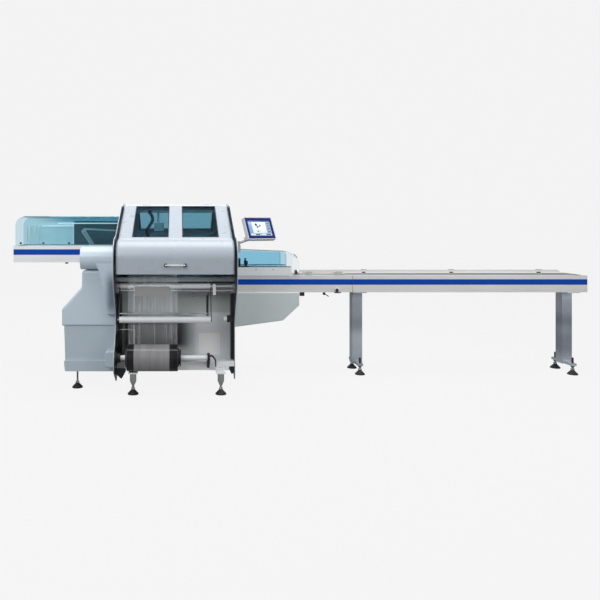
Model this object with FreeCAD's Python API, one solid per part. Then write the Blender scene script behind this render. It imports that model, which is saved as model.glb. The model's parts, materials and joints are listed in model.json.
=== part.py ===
# Stretch wrapping machine for food trays.
# A film bay with a lift-up hood stands at the left of the line. Trays come in from the right on a long
# belt conveyor, are lifted into the stretched film inside the machine, and leave to the left, higher up,
# under a clear guard. Sizes are millimetres. X runs along the line to the right, Y away from the operator,
# Z up. The origin lies on the floor under the middle of the whole line.

import FreeCAD
import Part
import math
import os
from FreeCAD import Vector

os.makedirs("parts", exist_ok=True)

# Overall sizes
line_length = 5198.0
line_left = -line_length / 2
line_right = line_length / 2

# The machine between its two side walls
bay_centre_x = line_left + 1469.0
bay_width = 984.0
wall_thickness = 10.0
wall_left_outer = bay_centre_x - bay_width / 2
wall_left_inner = wall_left_outer + wall_thickness
wall_right_outer = bay_centre_x + bay_width / 2
wall_right_inner = wall_right_outer - wall_thickness
wall_rim = 10.0
base_bottom = 168.0
base_top = 237.0
sill_front_y = -488.0
panel_thickness = 10.0

# Hood over the film bay, drawn as a side view from its rear edge to its lower front edge
hood_top = 1540.0
hood_rear_y = 250.0
hood_crest_y = 85.0
hood_crest_radius = 100.0
hood_crease_y = -505.0
hood_crease_z = hood_top - 291.0
visor_front_y = -714.0
visor_top_z = hood_top - 297.0
visor_radius = 150.0
visor_lip_y = -696.0
visor_lip_z = hood_top - 572.0
hood_side_gap = 10.0
hood_sheet = 6.0
hood_flange = 40.0
hood_edge_radius = 32.0
hood_pillar = 110.0
hood_window_width = 302.0
hood_window_start = 16.0
hood_window_length = 614.0
pane_thickness = 4.0
pane_border = 10.0
seat_gap = 0.3
handle_length = 150.0
handle_reach = 34.0
handle_radius = 6.0
handle_z = visor_lip_z + 72.0

# The line is as deep behind its middle as the handle stands out in front of it
front_y = visor_front_y - handle_reach
rear_y = -front_y

# Hinge of the hood
hinge_y = 256.0
hinge_z = hood_top + 8.0
hinge_radius = 6.5
hinge_pin_radius = 3.0
hinge_length = 110.0
hinge_spread = 290.0
running_gap = 0.08

# Fixed canopy behind the hood
canopy_front_y = 262.0
canopy_crest_y = 330.0
canopy_foot_z = hood_top - 245.0
canopy_bottom_z = hood_top - 350.0
canopy_window_start = 50.0
canopy_window_length = 330.0

# Wrapping deck and what stands or hangs over it
deck_top_z = 1152.0
deck_thickness = 10.0
beam_top_z = hood_top - 48.0
beam_height = 24.0
chain_top_z = hood_top - 70.0

# Conveyor section, shared by the infeed line and the outfeed arm
conveyor_front_y = 50.0
conveyor_width = 300.0
conveyor_back_y = conveyor_front_y + conveyor_width
conveyor_middle_y = conveyor_front_y + conveyor_width / 2
rail_thickness = 28.0
rail_height = 152.0
stripe_drop = 34.0
stripe_height = 50.0
stripe_depth = 2.0
belt_thickness = 3.0
belt_rise = 5.0
belt_side_gap = 6.0
belt_roller_radius = 45.0
belt_end_inset = 52.0
bed_thickness = 12.0

# Infeed line
infeed_rail_top = 900.0
infeed_start_x = wall_right_outer
rail_seam_x = line_right - 2124.0
rail_seam_gap = 1.5

rear_guide_end = line_right - 88.0
front_guide_end = rail_seam_x - 68.0
rear_clamps = [line_right - 1942.0, line_right - 1108.0, line_right - 276.0]
sensor_x = line_right - 2263.0

# Outfeed arm
outfeed_rail_top = infeed_rail_top + 271.0

# Film reel and rollers
reel_y = -590.0
reel_z = 292.0
film_radius = 107.0
reel_left_x = bay_centre_x - 398.0
reel_hub_length = 14.0
film_width = 402.0
reel_end_length = 26.0
reel_hub_radius = 74.0
mandrel_radius = 20.0
mandrel_end_x = bay_centre_x + 282.0
roller_left_x = bay_centre_x - 450.0
roller_right_x = bay_centre_x + 284.0
upper_roller_y = -500.0
upper_roller_z = 857.0
upper_roller_radius = 20.0
roller_shaft_radius = 8.0
dancer_pivot_y = -470.0
dancer_pivot_z = 820.0
dancer_shaft_radius = 10.0
dancer_roller_y = -575.0
dancer_roller_z = 594.0
dancer_roller_radius = 26.0
dancer_arm_thickness = 6.0
dancer_arm_width = 30.0
feed_roller_y = -450.0
feed_roller_z = 1015.0
feed_roller_radius = 18.0
web_gap = 0.5
web_thickness = 1.0
bearing_size = 44.0
bearing_depth = 16.0

# Left housing beside the bay
housing_left = bay_centre_x - 940.0
housing_front_y = -440.0
housing_rear_y = 640.0
housing_seam_z = 522.0
housing_top_z = 980.0
housing_hem_z = 150.0
fairing_left = bay_centre_x - 782.0
fairing_front_y = -500.0
fairing_bottom_z = 989.0

# Feet
foot_pad_radius = 44.0
foot_pad_height = 40.0
foot_rim_height = 7.0
foot_spindle_radius = 9.0
foot_socket_length = 92.0
foot_socket_radius = 26.0
machine_feet = [
    (bay_centre_x - 339.0, -590.0),
    (bay_centre_x + 365.0, -590.0),
    (bay_centre_x - 339.0, 600.0),
    (bay_centre_x + 365.0, 600.0),
]
housing_feet = [(bay_centre_x - 819.0, -380.0), (bay_centre_x - 819.0, 560.0)]
lug_half_width = 36.0
lug_thickness = 10.0

# Legs of the infeed line
leg_positions = [line_right - 2055.0, line_right - 122.0]
leg_width = 90.0
leg_depth = 100.0
leg_foot_spread = 260.0
leg_bar_bottom = 80.0
leg_bar_height = 22.0
leg_bar_width = 46.0

# Operator panel
panel_width = 270.0
panel_height = 196.0
panel_depth = 36.0
panel_turn = 27.0
panel_lean = 24.0
panel_centre = Vector(bay_centre_x + 681.0, -505.0, 1324.0)
swivel_x = wall_right_outer + 20.0
swivel_y = -485.0
swivel_z = 1190.0


def box(x_range, y_range, z_range):
    size = Vector(x_range[1] - x_range[0], y_range[1] - y_range[0], z_range[1] - z_range[0])
    return Part.makeBox(size.x, size.y, size.z, Vector(x_range[0], y_range[0], z_range[0]))


def rod(start, end, radius):
    """A round bar between two points."""
    run = end.sub(start)
    return Part.makeCylinder(radius, run.Length, start, run)


def rod_along_x(x_from, x_to, y, z, radius):
    return rod(Vector(x_from, y, z), Vector(x_to, y, z), radius)


def join(shapes):
    """Fuses shapes into one solid and removes the leftover seams."""
    return shapes[0].multiFuse(shapes[1:]).removeSplitter()


def on_plane(plane, u, v, level=0.0):
    """A point of a drawing: side views hold (y, z), front views (x, z) and plan views (x, y)."""
    if plane == "side":
        return Vector(level, u, v)
    if plane == "front":
        return Vector(u, level, v)
    return Vector(u, v, level)


def outline(points, plane, level=0.0):
    """A closed wire through (u, v, corner radius) points, its corners rounded by tangent arcs."""
    corners = [Vector(p[0], p[1], 0) for p in points]
    radii = [p[2] for p in points]
    count = len(corners)
    cuts = []
    for i, corner in enumerate(corners):
        to_before = corners[i - 1].sub(corner)
        to_after = corners[(i + 1) % count].sub(corner)
        to_before.normalize()
        to_after.normalize()
        half = to_before.getAngle(to_after) / 2
        if radii[i] <= 0 or abs(half - math.pi / 2) < 1e-4:
            cuts.append((corner, None, corner))
            continue
        reach = radii[i] / math.tan(half)
        inward = to_before.add(to_after)
        inward.normalize()
        middle = corner.add(inward * (radii[i] / math.sin(half) - radii[i]))
        cuts.append((corner.add(to_before * reach), middle, corner.add(to_after * reach)))
    edges = []
    for i, (start, middle, end) in enumerate(cuts):
        if middle is not None:
            arc = [on_plane(plane, p.x, p.y, level) for p in (start, middle, end)]
            edges.append(Part.Arc(*arc).toShape())
        following = cuts[(i + 1) % count][0]
        if end.distanceToPoint(following) > 1e-6:
            line = [on_plane(plane, p.x, p.y, level) for p in (end, following)]
            edges.append(Part.LineSegment(*line).toShape())
    return Part.Wire(Part.__sortEdges__(edges))


def prism(points, plane, low, high):
    """A drawing pulled straight from one level to another."""
    face = Part.Face(outline(points, plane, low))
    return face.extrude(on_plane(plane, 0, 0, high - low))


def offset_path(path, distance):
    """An open path of (u, v, radius) moved to its left by a distance, corners kept concentric."""
    moved = []
    for i, (u, v, radius) in enumerate(path):
        here = Vector(u, v, 0)
        normals = []
        for a, b in ((i - 1, i), (i, i + 1)):
            if a >= 0 and b < len(path):
                run = Vector(path[b][0] - path[a][0], path[b][1] - path[a][1], 0)
                run.normalize()
                normals.append(Vector(-run.y, run.x, 0))
        if len(normals) == 1:
            shifted = here.add(normals[0] * distance)
            moved.append((shifted.x, shifted.y, radius))
            continue
        mitre = normals[0].add(normals[1])
        mitre.normalize()
        shifted = here.add(mitre * (distance / mitre.dot(normals[0])))
        turn = normals[0].cross(normals[1]).z
        change = -distance if turn > 0 else distance
        moved.append((shifted.x, shifted.y, max(radius + change, 1.0)))
    return moved


def band(path, near, far):
    """A closed strip between two offsets of an open path."""
    return offset_path(path, near) + offset_path(path, far)[::-1]


# Side view of the hood, from the rear edge forward and down. Its left side is the inside of the hood.
hood_path = [
    (hood_rear_y, hood_top, 0),
    (hood_crest_y, hood_top, hood_crest_radius),
    (hood_crease_y, hood_crease_z, 8),
    (visor_front_y, visor_top_z, visor_radius),
    (visor_lip_y, visor_lip_z, 0),
]

# Side view of the fixed canopy, from its front edge back and down. Its right side is the inside.
canopy_path = [
    (canopy_front_y, hood_top, 0),
    (canopy_crest_y, hood_top, 90),
    (rear_y, canopy_foot_z, 60),
    (rear_y, canopy_bottom_z, 0),
]


def wall_outline(bulges_at_reel):
    """Side view of a side wall: it follows the hood, draws in at the waist and ends in a pointed toe."""
    crest, crease, corner = offset_path(hood_path, -wall_rim)[1:-1]
    over_hood = [(crest[0], crest[1], hood_crest_radius * 1.8), crease, corner]
    lip_y = visor_lip_y - wall_rim
    front = [(lip_y, visor_lip_z - 60, 220), (-450, 560, 190)]
    if bulges_at_reel:
        front += [(-664, 310, 140), (-664, 190, 60), (-480, 78, 10)]
    else:
        front += [(-452, 300, 400), (-470, 82, 10)]
    rear = [(-330, base_bottom, 20), (rear_y, base_bottom, 20), (rear_y, canopy_foot_z + wall_rim, 60)]
    return over_hood + front + rear + [(canopy_crest_y + 5, hood_top + wall_rim, 90)]


def left_side_wall():
    wall = prism(wall_outline(True), "side", wall_left_outer, wall_left_inner)
    tunnel = [
        (conveyor_front_y - 4, outfeed_rail_top - rail_height - 4, 6),
        (conveyor_back_y + 4, outfeed_rail_top - rail_height - 4, 6),
        (conveyor_back_y + 4, outfeed_cover_top + 4, 40),
        (conveyor_front_y - 4, outfeed_cover_top + 4, 40),
    ]
    hole = prism(tunnel, "side", wall_left_outer - 1, wall_left_inner + 1)
    return wall.cut(hole)


def right_side_wall():
    wall = prism(wall_outline(False), "side", wall_right_inner, wall_right_outer)
    tunnel = [
        (conveyor_front_y - 4, infeed_rail_top - rail_height - 4, 6),
        (conveyor_back_y + 4, infeed_rail_top - rail_height - 4, 6),
        (conveyor_back_y + 4, infeed_cover_top + 4, 30),
        (conveyor_front_y - 4, infeed_cover_top + 4, 30),
    ]
    hole = prism(tunnel, "side", wall_right_inner - 1, wall_right_outer + 1)
    return join([wall.cut(hole), swivel_bracket()])


# Clear guards
outfeed_cover_left = line_left + 18.0
outfeed_cover_top = outfeed_rail_top + 266.0
heater_left = bay_centre_x - 967.0
heater_drop = 43.0
liner_left = outfeed_cover_left + 34.0
liner_drop = 92.0
infeed_cover_right = bay_centre_x + 1115.0
infeed_cover_top = infeed_rail_top + 235.0
infeed_cover_fall = 26.0
infeed_cover_end_bottom = infeed_rail_top + 30.0
infeed_mouth_height = 156.0
guard_rail_bottom = infeed_rail_top + 2.0
guard_rail_top = infeed_rail_top + 76.0
guard_rail_right = infeed_cover_right - 62.0
guard_rail_thickness = 12.0
cover_sheet = 5.0
cover_inset = 2.0


def base_tray():
    """Closed steel base with its light front sill, lugs over the front feet and a tray on the left."""
    x_span = (wall_left_inner, wall_right_inner)
    machine = box(x_span, (sill_front_y, rear_y - panel_thickness), (base_bottom, base_top))
    lugs = []
    for x, y in machine_feet[:2]:
        lugs.append(box((x - lug_half_width, x + lug_half_width), (y - lug_half_width, sill_front_y + 5),
                        (base_bottom, base_bottom + lug_thickness)))
    left = box((housing_left + 40, wall_left_outer), (housing_front_y + 20, housing_rear_y - 20),
               (base_bottom, base_bottom + 40))
    return Part.makeCompound([join([machine] + lugs), left])


def slope_cutter(path, foot, crest, start, length, x_from, x_to, low, high):
    """A block that stands square on the straight slope between two path corners."""
    foot_y, foot_z = path[foot][0], path[foot][1]
    run = Vector(0, path[crest][0] - foot_y, path[crest][1] - foot_z)
    run.normalize()
    up = Vector(0, -run.z, run.y) if run.y > 0 else Vector(0, run.z, -run.y)
    origin = Vector(0, foot_y, foot_z).add(run * start)
    corners = [
        origin.add(up * low),
        origin.add(run * length).add(up * low),
        origin.add(run * length).add(up * high),
        origin.add(up * high),
    ]
    points = [(c.y, c.z, 0) for c in corners]
    return prism(points, "side", x_from, x_to)


def window_spans():
    """The two windows' x ranges, either side of the middle pillar."""
    near = hood_pillar / 2
    far = near + hood_window_width
    return [(bay_centre_x - far, bay_centre_x - near), (bay_centre_x + near, bay_centre_x + far)]


def soften_sides(solid, core, radius):
    """Rounds the edges along both ends of a solid that lie outside a slightly smaller core."""
    edges = []
    for edge in solid.Edges:
        if edge.BoundBox.XLength < 1e-3:
            middle = edge.valueAt((edge.FirstParameter + edge.LastParameter) / 2)
            if core.distToShape(Part.Vertex(middle))[0] > 1.5:
                edges.append(edge)
    return solid.makeFillet(radius, edges)


def moulded_sheet(path, side, x_from, x_to, edge_radius=0):
    """A curved sheet with a turned-in flange along both ends. side is +1 where the inside is to the left."""
    shell = prism(band(path, 0, side * hood_flange), "side", x_from, x_to)
    inner_band = band(path, side * hood_sheet, side * (hood_flange + 1))
    hollow = prism(inner_band, "side", x_from + hood_sheet, x_to - hood_sheet)
    if edge_radius > 0:
        core = prism(band(path, side * 2, side * hood_flange), "side", x_from, x_to)
        shell = soften_sides(shell, core, edge_radius)
        core = prism(band(path, side * (hood_sheet + 2), side * (hood_flange + 1)), "side", x_from, x_to)
        hollow = soften_sides(hollow, core, edge_radius - hood_sheet)
    return shell.cut(hollow)


def hood_shell():
    x_from = wall_left_inner + hood_side_gap
    x_to = wall_right_inner - hood_side_gap
    shell = moulded_sheet(hood_path, 1, x_from, x_to, hood_edge_radius)
    for left, right in window_spans():
        shell = shell.cut(
            slope_cutter(hood_path, 2, 1, hood_window_start, hood_window_length, left, right, -60, 60)
        )
    shell = join([shell] + [moving_hinge_leaf(x) for x in hinge_spots()])
    for x in hinge_spots():
        shell = shell.cut(rod_along_x(x - hinge_length, x + hinge_length, hinge_y, hinge_z,
                                      hinge_pin_radius + running_gap))
    return shell


def hood_windows():
    """Tinted panes under the two window openings."""
    top = -hood_sheet - seat_gap
    panes = []
    for left, right in window_spans():
        panes.append(
            slope_cutter(
                hood_path, 2, 1, hood_window_start - pane_border, hood_window_length + 2 * pane_border,
                left - pane_border, right + pane_border, top - pane_thickness, top,
            )
        )
    return Part.makeCompound(panes)


def hood_handle():
    """A bowed pull handle that stands on the visor."""
    half = handle_length / 2
    bar_y = front_y + handle_radius
    inside_y = visor_lip_y + 2
    pieces = [rod(Vector(bay_centre_x - half, bar_y, handle_z), Vector(bay_centre_x + half, bar_y, handle_z),
                  handle_radius)]
    for x in (bay_centre_x - half, bay_centre_x + half):
        pieces.append(rod(Vector(x, inside_y, handle_z), Vector(x, bar_y, handle_z), handle_radius))
        pieces.append(rod(Vector(x, inside_y, handle_z), Vector(x, visor_front_y + 4, handle_z),
                          handle_radius + 5))
        pieces.append(Part.makeSphere(handle_radius, Vector(x, bar_y, handle_z)))
    within_hood = prism(band(hood_path, 0, 60), "side", wall_left_inner, wall_right_inner)
    return join(pieces).cut(within_hood)


def rear_enclosure():
    """Canopy behind the hood, in one with two service panels and the fixed leaves of the hinges."""
    shell = moulded_sheet(canopy_path, -1, wall_left_inner, wall_right_inner)
    for left, right in window_spans():
        shell = shell.cut(
            slope_cutter(canopy_path, 2, 1, canopy_window_start, canopy_window_length, left, right, -60, 60)
        )
    seam = 2.0
    panels = []
    for x_from, x_to in ((wall_left_inner, bay_centre_x - seam), (bay_centre_x + seam, wall_right_inner)):
        panels.append(box((x_from, x_to), (rear_y - panel_thickness, rear_y), (base_bottom, canopy_bottom_z + 5)))
    return join([shell] + panels + fixed_hinge_leaves())


def rear_windows():
    top = -hood_sheet
    panes = []
    for left, right in window_spans():
        panes.append(
            slope_cutter(
                canopy_path, 2, 1, canopy_window_start - pane_border, canopy_window_length + 2 * pane_border,
                left - pane_border, right + pane_border, top - pane_thickness, top,
            )
        )
    return Part.makeCompound(panes)


def hinge_spots():
    return (bay_centre_x - hinge_spread, bay_centre_x + hinge_spread)


def moving_hinge_leaf(x):
    """The moving leaf and middle knuckle of one hood hinge."""
    third = hinge_length / 3
    knuckle = rod_along_x(x - third / 2, x + third / 2, hinge_y, hinge_z, hinge_radius)
    leaf = box((x - third / 2, x + third / 2), (hood_rear_y - 40, hinge_y), (hood_top, hood_top + 3))
    return join([knuckle, leaf])


def fixed_hinge_leaves():
    """The fixed leaf, outer knuckles and pin of both hood hinges."""
    third = hinge_length / 3
    side_gap = 0.5
    pieces = []
    for x in hinge_spots():
        pieces.append(rod_along_x(x - hinge_length / 2, x + hinge_length / 2, hinge_y, hinge_z, hinge_pin_radius))
        for low, high in ((x - hinge_length / 2, x - third / 2 - side_gap),
                          (x + third / 2 + side_gap, x + hinge_length / 2)):
            pieces.append(rod_along_x(low, high, hinge_y, hinge_z, hinge_radius))
            pieces.append(box((low, high), (hinge_y, canopy_front_y + 42), (hood_top, hood_top + 3)))
        pieces.append(box((x - hinge_length / 2, x + hinge_length / 2),
                          (canopy_front_y + 10, canopy_front_y + 42), (hood_top, hood_top + 3)))
    return pieces


def folding_deck():
    """Wrapping deck inside the machine, open over the tray lift, with its side folding plates."""
    above = (deck_top_z - 2, deck_top_z + 12)
    through = (deck_top_z - deck_thickness - 20, deck_top_z + 40)
    plate = box((wall_left_inner, wall_right_inner), (-400, rear_y - panel_thickness),
                (deck_top_z - deck_thickness, deck_top_z))
    lift = box((bay_centre_x - 210, bay_centre_x + 210), (conveyor_middle_y - 150, conveyor_middle_y + 150),
               through)
    belt_slot = box((wall_left_inner - 1, outfeed_belt_span[1] + 8),
                    (conveyor_front_y + 20, conveyor_back_y - 20), through)
    left = box((bay_centre_x - 370, bay_centre_x - 230), (-10, 240), above)
    left_post = box((bay_centre_x - 370, bay_centre_x - 345), (-10, 30), (deck_top_z - 2, deck_top_z + 108))
    right = box((bay_centre_x + 230, bay_centre_x + 420), (-10, 240), above)
    lever = [
        (bay_centre_x + 232, deck_top_z - 2, 0),
        (bay_centre_x + 262, deck_top_z - 2, 0),
        (bay_centre_x + 262, deck_top_z + 63, 10),
        (bay_centre_x + 420, deck_top_z + 148, 6),
        (bay_centre_x + 412, deck_top_z + 168, 6),
        (bay_centre_x + 232, deck_top_z + 88, 10),
    ]
    return join([plate.cut(lift).cut(belt_slot), left, left_post, right, prism(lever, "front", -10, 12)])


def gripper_beam():
    """Cross beam that carries the film gripper, with its carriage."""
    across = (wall_left_inner, wall_right_inner)
    beam = box(across, (100, 150), (beam_top_z - beam_height, beam_top_z))
    groove = box(across, (90, 106), (beam_top_z - beam_height + 7, beam_top_z - 7))
    carriage = box((bay_centre_x - 196, bay_centre_x - 106), (70, 140), (chain_top_z - 167, chain_top_z - 95))
    hanger = box((bay_centre_x - 170, bay_centre_x - 150), (110, 135), (chain_top_z - 100, beam_top_z - 10))
    return join([beam.cut(groove), carriage, hanger])


def cable_chain():
    """Drag chain hanging from the beam to the folding plates, link by link."""
    link_length = 22.0
    link_count = 11
    sway = 26.0
    drop = chain_top_z - deck_top_z - 83
    top_x = bay_centre_x - 236
    links = []
    for i in range(link_count):
        share = i / (link_count - 1)
        x = top_x + sway * math.sin(share * math.pi * 2)
        z = chain_top_z - drop * share
        tilt = math.degrees(math.atan2(sway * math.pi * 2 * math.cos(share * math.pi * 2), drop))
        link = Part.makeBox(24, 26, link_length + 10, Vector(-12, -13, -(link_length + 10) / 2))
        waist = Part.makeBox(34, 12, 8, Vector(-17, -6, -4))
        link = link.fuse(waist)
        link.rotate(Vector(0, 0, 0), Vector(0, 1, 0), -tilt)
        link.translate(Vector(x, 84, z))
        links.append(link)
    hook = box((top_x - 15, top_x + 15), (71, 100), (chain_top_z - 15, beam_top_z - 2))
    foot = box((top_x - 16, top_x + 16), (64, 104), (deck_top_z + 12, deck_top_z + 88))
    return join(links + [hook, foot])


def bay_panels():
    """Grey sheet panels behind the rollers, with the bent plate that leads the film up to the visor."""
    y_front = -300.0
    step_z = reel_z + 268
    top_z = upper_roller_z + 58
    split_x = bay_centre_x + 274
    lower = box((wall_left_inner, wall_right_inner), (y_front, y_front + panel_thickness), (base_top, step_z))
    upper = box((wall_left_inner, split_x), (y_front + 14, y_front + 14 + panel_thickness),
                (step_z - 10, top_z))
    shelf = box((wall_left_inner, wall_right_inner), (y_front, y_front + 24), (step_z - 15, step_z))
    right = box((split_x + 7, wall_right_inner), (y_front - 4, y_front + 24), (step_z - 10, top_z))
    guide_points = [
        (y_front + 24, top_z - 10, 0),
        (y_front + 24, top_z, 0),
        (-478, top_z + 12, 8),
        (-478, top_z - 22, 0),
        (-474, top_z - 22, 0),
        (-474, top_z + 1, 4),
    ]
    guide = prism(guide_points, "side", wall_left_inner, wall_right_inner)
    threading_tab = box((split_x + 31, split_x + 51), (y_front - 12, y_front - 2), (top_z - 125, top_z - 35))
    return join([lower, upper, shelf, right, guide, threading_tab])


def bay_channels():
    """Dark upright channels inside both walls, for cables and the reel brake."""
    channels = []
    for x_from, x_to in ((wall_left_inner, wall_left_inner + 34), (wall_right_inner - 22, wall_right_inner)):
        channels.append(box((x_from, x_to), (-400, -330), (base_top + 3, 780)))
    post = box((wall_left_inner + 60, wall_left_inner + 104), (-340, -300), (base_top, 545))
    return Part.makeCompound(channels + [post])


def toe_brackets():
    """Black sheet brackets under the toes: one on the left wall, one on the sill at the right."""
    brace_z = base_bottom + 32
    left_x = wall_left_inner
    right_x = wall_right_inner
    left = [
        (left_x, brace_z, 0),
        (left_x + 82, brace_z, 3),
        (left_x + 82, brace_z - 25, 6),
        (left_x + 47, brace_z - 88, 8),
        (left_x, brace_z - 46, 0),
    ]
    right = [
        (right_x, brace_z, 0),
        (right_x - 42, brace_z, 3),
        (right_x - 42, brace_z - 22, 6),
        (right_x - 20, brace_z - 70, 8),
        (right_x, brace_z - 40, 0),
    ]
    return Part.makeCompound([prism(left, "front", -560, -556), prism(right, "front", sill_front_y - 4, sill_front_y)])


def taut_line(first, second):
    """Touch points of a taut line between two rollers, each given as (y, z, signed radius).
    A positive radius leaves that roller on the line's right, a negative one on its left."""
    run_y, run_z = second[0] - first[0], second[1] - first[1]
    lean = math.asin((first[2] - second[2]) / math.hypot(run_y, run_z))
    angle = math.atan2(run_z, run_y) - lean
    left = Vector(-math.sin(angle), math.cos(angle), 0)
    return [Vector(r[0], r[1], 0) + left * r[2] for r in (first, second)]


def crossing(line_a, line_b):
    """Where two lines through pairs of points meet."""
    run_a = line_a[1] - line_a[0]
    run_b = line_b[1] - line_b[0]
    share = (line_b[0] - line_a[0]).cross(run_b).z / run_a.cross(run_b).z
    return line_a[0] + run_a * share


def film_web():
    """Taut film from the reel, behind the dancer roller and over the upper roller to the feed roller."""
    half = web_thickness / 2
    rollers = [
        (reel_y, reel_z, -(film_radius + web_gap + half)),
        (dancer_roller_y, dancer_roller_z, -(dancer_roller_radius + web_gap + half)),
        (upper_roller_y, upper_roller_z, upper_roller_radius + web_gap + half),
        (feed_roller_y, feed_roller_z, feed_roller_radius + web_gap + half),
    ]
    lines = [taut_line(a, b) for a, b in zip(rollers, rollers[1:])]
    path = [(lines[0][0].x, lines[0][0].y, 0)]
    for i in (1, 2):
        corner = crossing(lines[i - 1], lines[i])
        path.append((corner.x, corner.y, abs(rollers[i][2])))
    path.append((lines[-1][1].x, lines[-1][1].y, 0))
    left = reel_left_x + reel_hub_length
    return prism(band(path, -half, half), "side", left, left + film_width)


def reel_shaft():
    """Steel mandrel of the reel, from the left bearing to the latch."""
    return rod_along_x(wall_left_inner + 4, mandrel_end_x, reel_y, reel_z, mandrel_radius)


def film_roll():
    """The film wound on its core."""
    left = reel_left_x + reel_hub_length
    right = left + film_width
    roll = rod_along_x(left, right, reel_y, reel_z, film_radius)
    return roll.cut(rod_along_x(left - 1, right + 1, reel_y, reel_z, mandrel_radius))


def reel_flanges():
    """Hub at the left and stepped clamp at the right of the reel."""
    hub = rod_along_x(reel_left_x, reel_left_x + reel_hub_length, reel_y, reel_z, reel_hub_radius)
    left = reel_left_x + reel_hub_length + film_width
    right = left + reel_end_length
    disc = rod_along_x(left, left + 10, reel_y, reel_z, reel_hub_radius)
    neck = rod_along_x(left + 10, left + 16, reel_y, reel_z, reel_hub_radius - 20)
    outer = rod_along_x(left + 16, right, reel_y, reel_z, reel_hub_radius - 6)
    clamp = join([disc, neck, outer])
    bore = rod_along_x(reel_left_x - 1, right + 1, reel_y, reel_z, mandrel_radius)
    return Part.makeCompound([hub.cut(bore), clamp.cut(bore)])


def bearing_block(x_from, x_to, y, z, bore_radius):
    """A square flange bearing with a round boss."""
    half = bearing_size / 2
    corner = 8
    plate = [
        (y - half, z - half, corner),
        (y + half, z - half, corner),
        (y + half, z + half, corner),
        (y - half, z + half, corner),
    ]
    block = prism(plate, "side", min(x_from, x_to), max(x_from, x_to))
    bore = rod_along_x(min(x_from, x_to) - 1, max(x_from, x_to) + 1, y, z, bore_radius)
    return block.cut(bore)


def bay_bearings():
    """Flange bearings of the upper roller and the dancer, and the round bearing of the reel mandrel."""
    blocks = [reel_bearing()]
    left = (wall_left_inner, wall_left_inner + bearing_depth)
    right = (wall_right_inner - bearing_depth, wall_right_inner)
    spots = [
        (upper_roller_y, upper_roller_z, roller_shaft_radius),
        (dancer_pivot_y, dancer_pivot_z, dancer_shaft_radius),
    ]
    for y, z, radius in spots:
        for x_from, x_to in (left, right):
            blocks.append(bearing_block(x_from, x_to, y, z, radius + running_gap))
    return Part.makeCompound(blocks)


def reel_bearing():
    """Round bearing that carries the mandrel at the left wall."""
    x_to = wall_left_inner + 40
    body = join(
        [
            rod_along_x(wall_left_inner, wall_left_inner + 14, reel_y, reel_z, 58),
            rod_along_x(wall_left_inner, x_to, reel_y, reel_z, 40),
        ]
    )
    return body.cut(rod_along_x(wall_left_inner - 0.5, x_to + 1, reel_y, reel_z, mandrel_radius + running_gap))


def reel_latch():
    """Bracket on the sill that holds the right end of the mandrel, with its curved lever."""
    x_from = mandrel_end_x - 26
    x_to = mandrel_end_x - 6
    plate = [
        (sill_front_y, base_bottom + 30, 0),
        (sill_front_y, base_top - 4, 0),
        (reel_y + 34, reel_z + 34, 20),
        (reel_y - 34, reel_z + 34, 20),
        (reel_y - 34, reel_z - 34, 20),
        (-540, base_bottom + 30, 20),
    ]
    bracket = prism(plate, "side", x_from, x_to)
    bracket = bracket.cut(
        rod_along_x(x_from - 1, x_to + 1, reel_y, reel_z, mandrel_radius + running_gap)
    )
    hook = [
        (x_to, reel_z + 27, 2),
        (x_to + 24, reel_z + 24, 12),
        (x_to + 50, reel_z - 12, 24),
        (x_to + 50, reel_z - 66, 2),
        (x_to + 42, reel_z - 66, 2),
        (x_to + 40, reel_z - 16, 20),
        (x_to + 19, reel_z + 13, 8),
        (x_to, reel_z + 15, 2),
    ]
    lever = prism(hook, "front", reel_y - 34, reel_y - 18)
    tab = box((x_from, x_to), (reel_y - 34, reel_y - 18), (reel_z + 15, reel_z + 27))
    return join([bracket, tab, lever])


brake_depth = 56.0
brake_y = -425.0
brake_z = 580.0


def brake_block():
    """Block of the reel brake on the right wall."""
    half = 25
    x = wall_right_inner - brake_depth
    return box((x, wall_right_inner), (brake_y - half, brake_y + half), (brake_z - half, brake_z + half))


def brake_knob():
    """Round knob on the end of the brake's block."""
    x = wall_right_inner - brake_depth
    return join([rod_along_x(x - 26, x, brake_y, brake_z, 20), rod_along_x(x - 28, x - 26, brake_y, brake_z, 17)])


def upper_roller():
    tube = rod_along_x(roller_left_x, roller_right_x, upper_roller_y, upper_roller_z, upper_roller_radius)
    shaft = rod_along_x(wall_left_inner + 2, wall_right_inner - 2, upper_roller_y, upper_roller_z,
                        roller_shaft_radius)
    collar = rod_along_x(roller_right_x + 18, roller_right_x + 30, upper_roller_y, upper_roller_z, 16)
    return join([tube, shaft, collar])


def feed_roller():
    """Driven nip roller behind the visor."""
    tube = rod_along_x(roller_left_x, roller_right_x, feed_roller_y, feed_roller_z, feed_roller_radius)
    shaft = rod_along_x(wall_left_inner, wall_right_inner, feed_roller_y, feed_roller_z, roller_shaft_radius)
    return join([tube, shaft])


def link_outline(start, end, half_width):
    """Outline of a flat link with round ends, between two (u, v) points."""
    along = Vector(end[0] - start[0], end[1] - start[1], 0)
    along.normalize()
    across = Vector(-along.y, along.x, 0)
    corners = []
    for centre, step, side in ((start, -1, 1), (start, -1, -1), (end, 1, -1), (end, 1, 1)):
        corner = Vector(centre[0], centre[1], 0) + along * (half_width * step) + across * (half_width * side)
        corners.append((corner.x, corner.y, half_width - 0.5))
    return corners


def dancer_arm_outline():
    return link_outline((dancer_pivot_y, dancer_pivot_z), (dancer_roller_y, dancer_roller_z),
                        dancer_arm_width / 2)


def dancer_frame():
    """Pivot shaft of the dancer and the thin tie bar above its roller."""
    shaft = rod_along_x(wall_left_inner + 2, wall_right_inner - 2, dancer_pivot_y, dancer_pivot_z,
                        dancer_shaft_radius)
    tie = rod_along_x(roller_left_x - 2, roller_right_x + 2, dancer_roller_y + 13, dancer_roller_z + 48, 5)
    return Part.makeCompound([shaft, tie])


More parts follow.
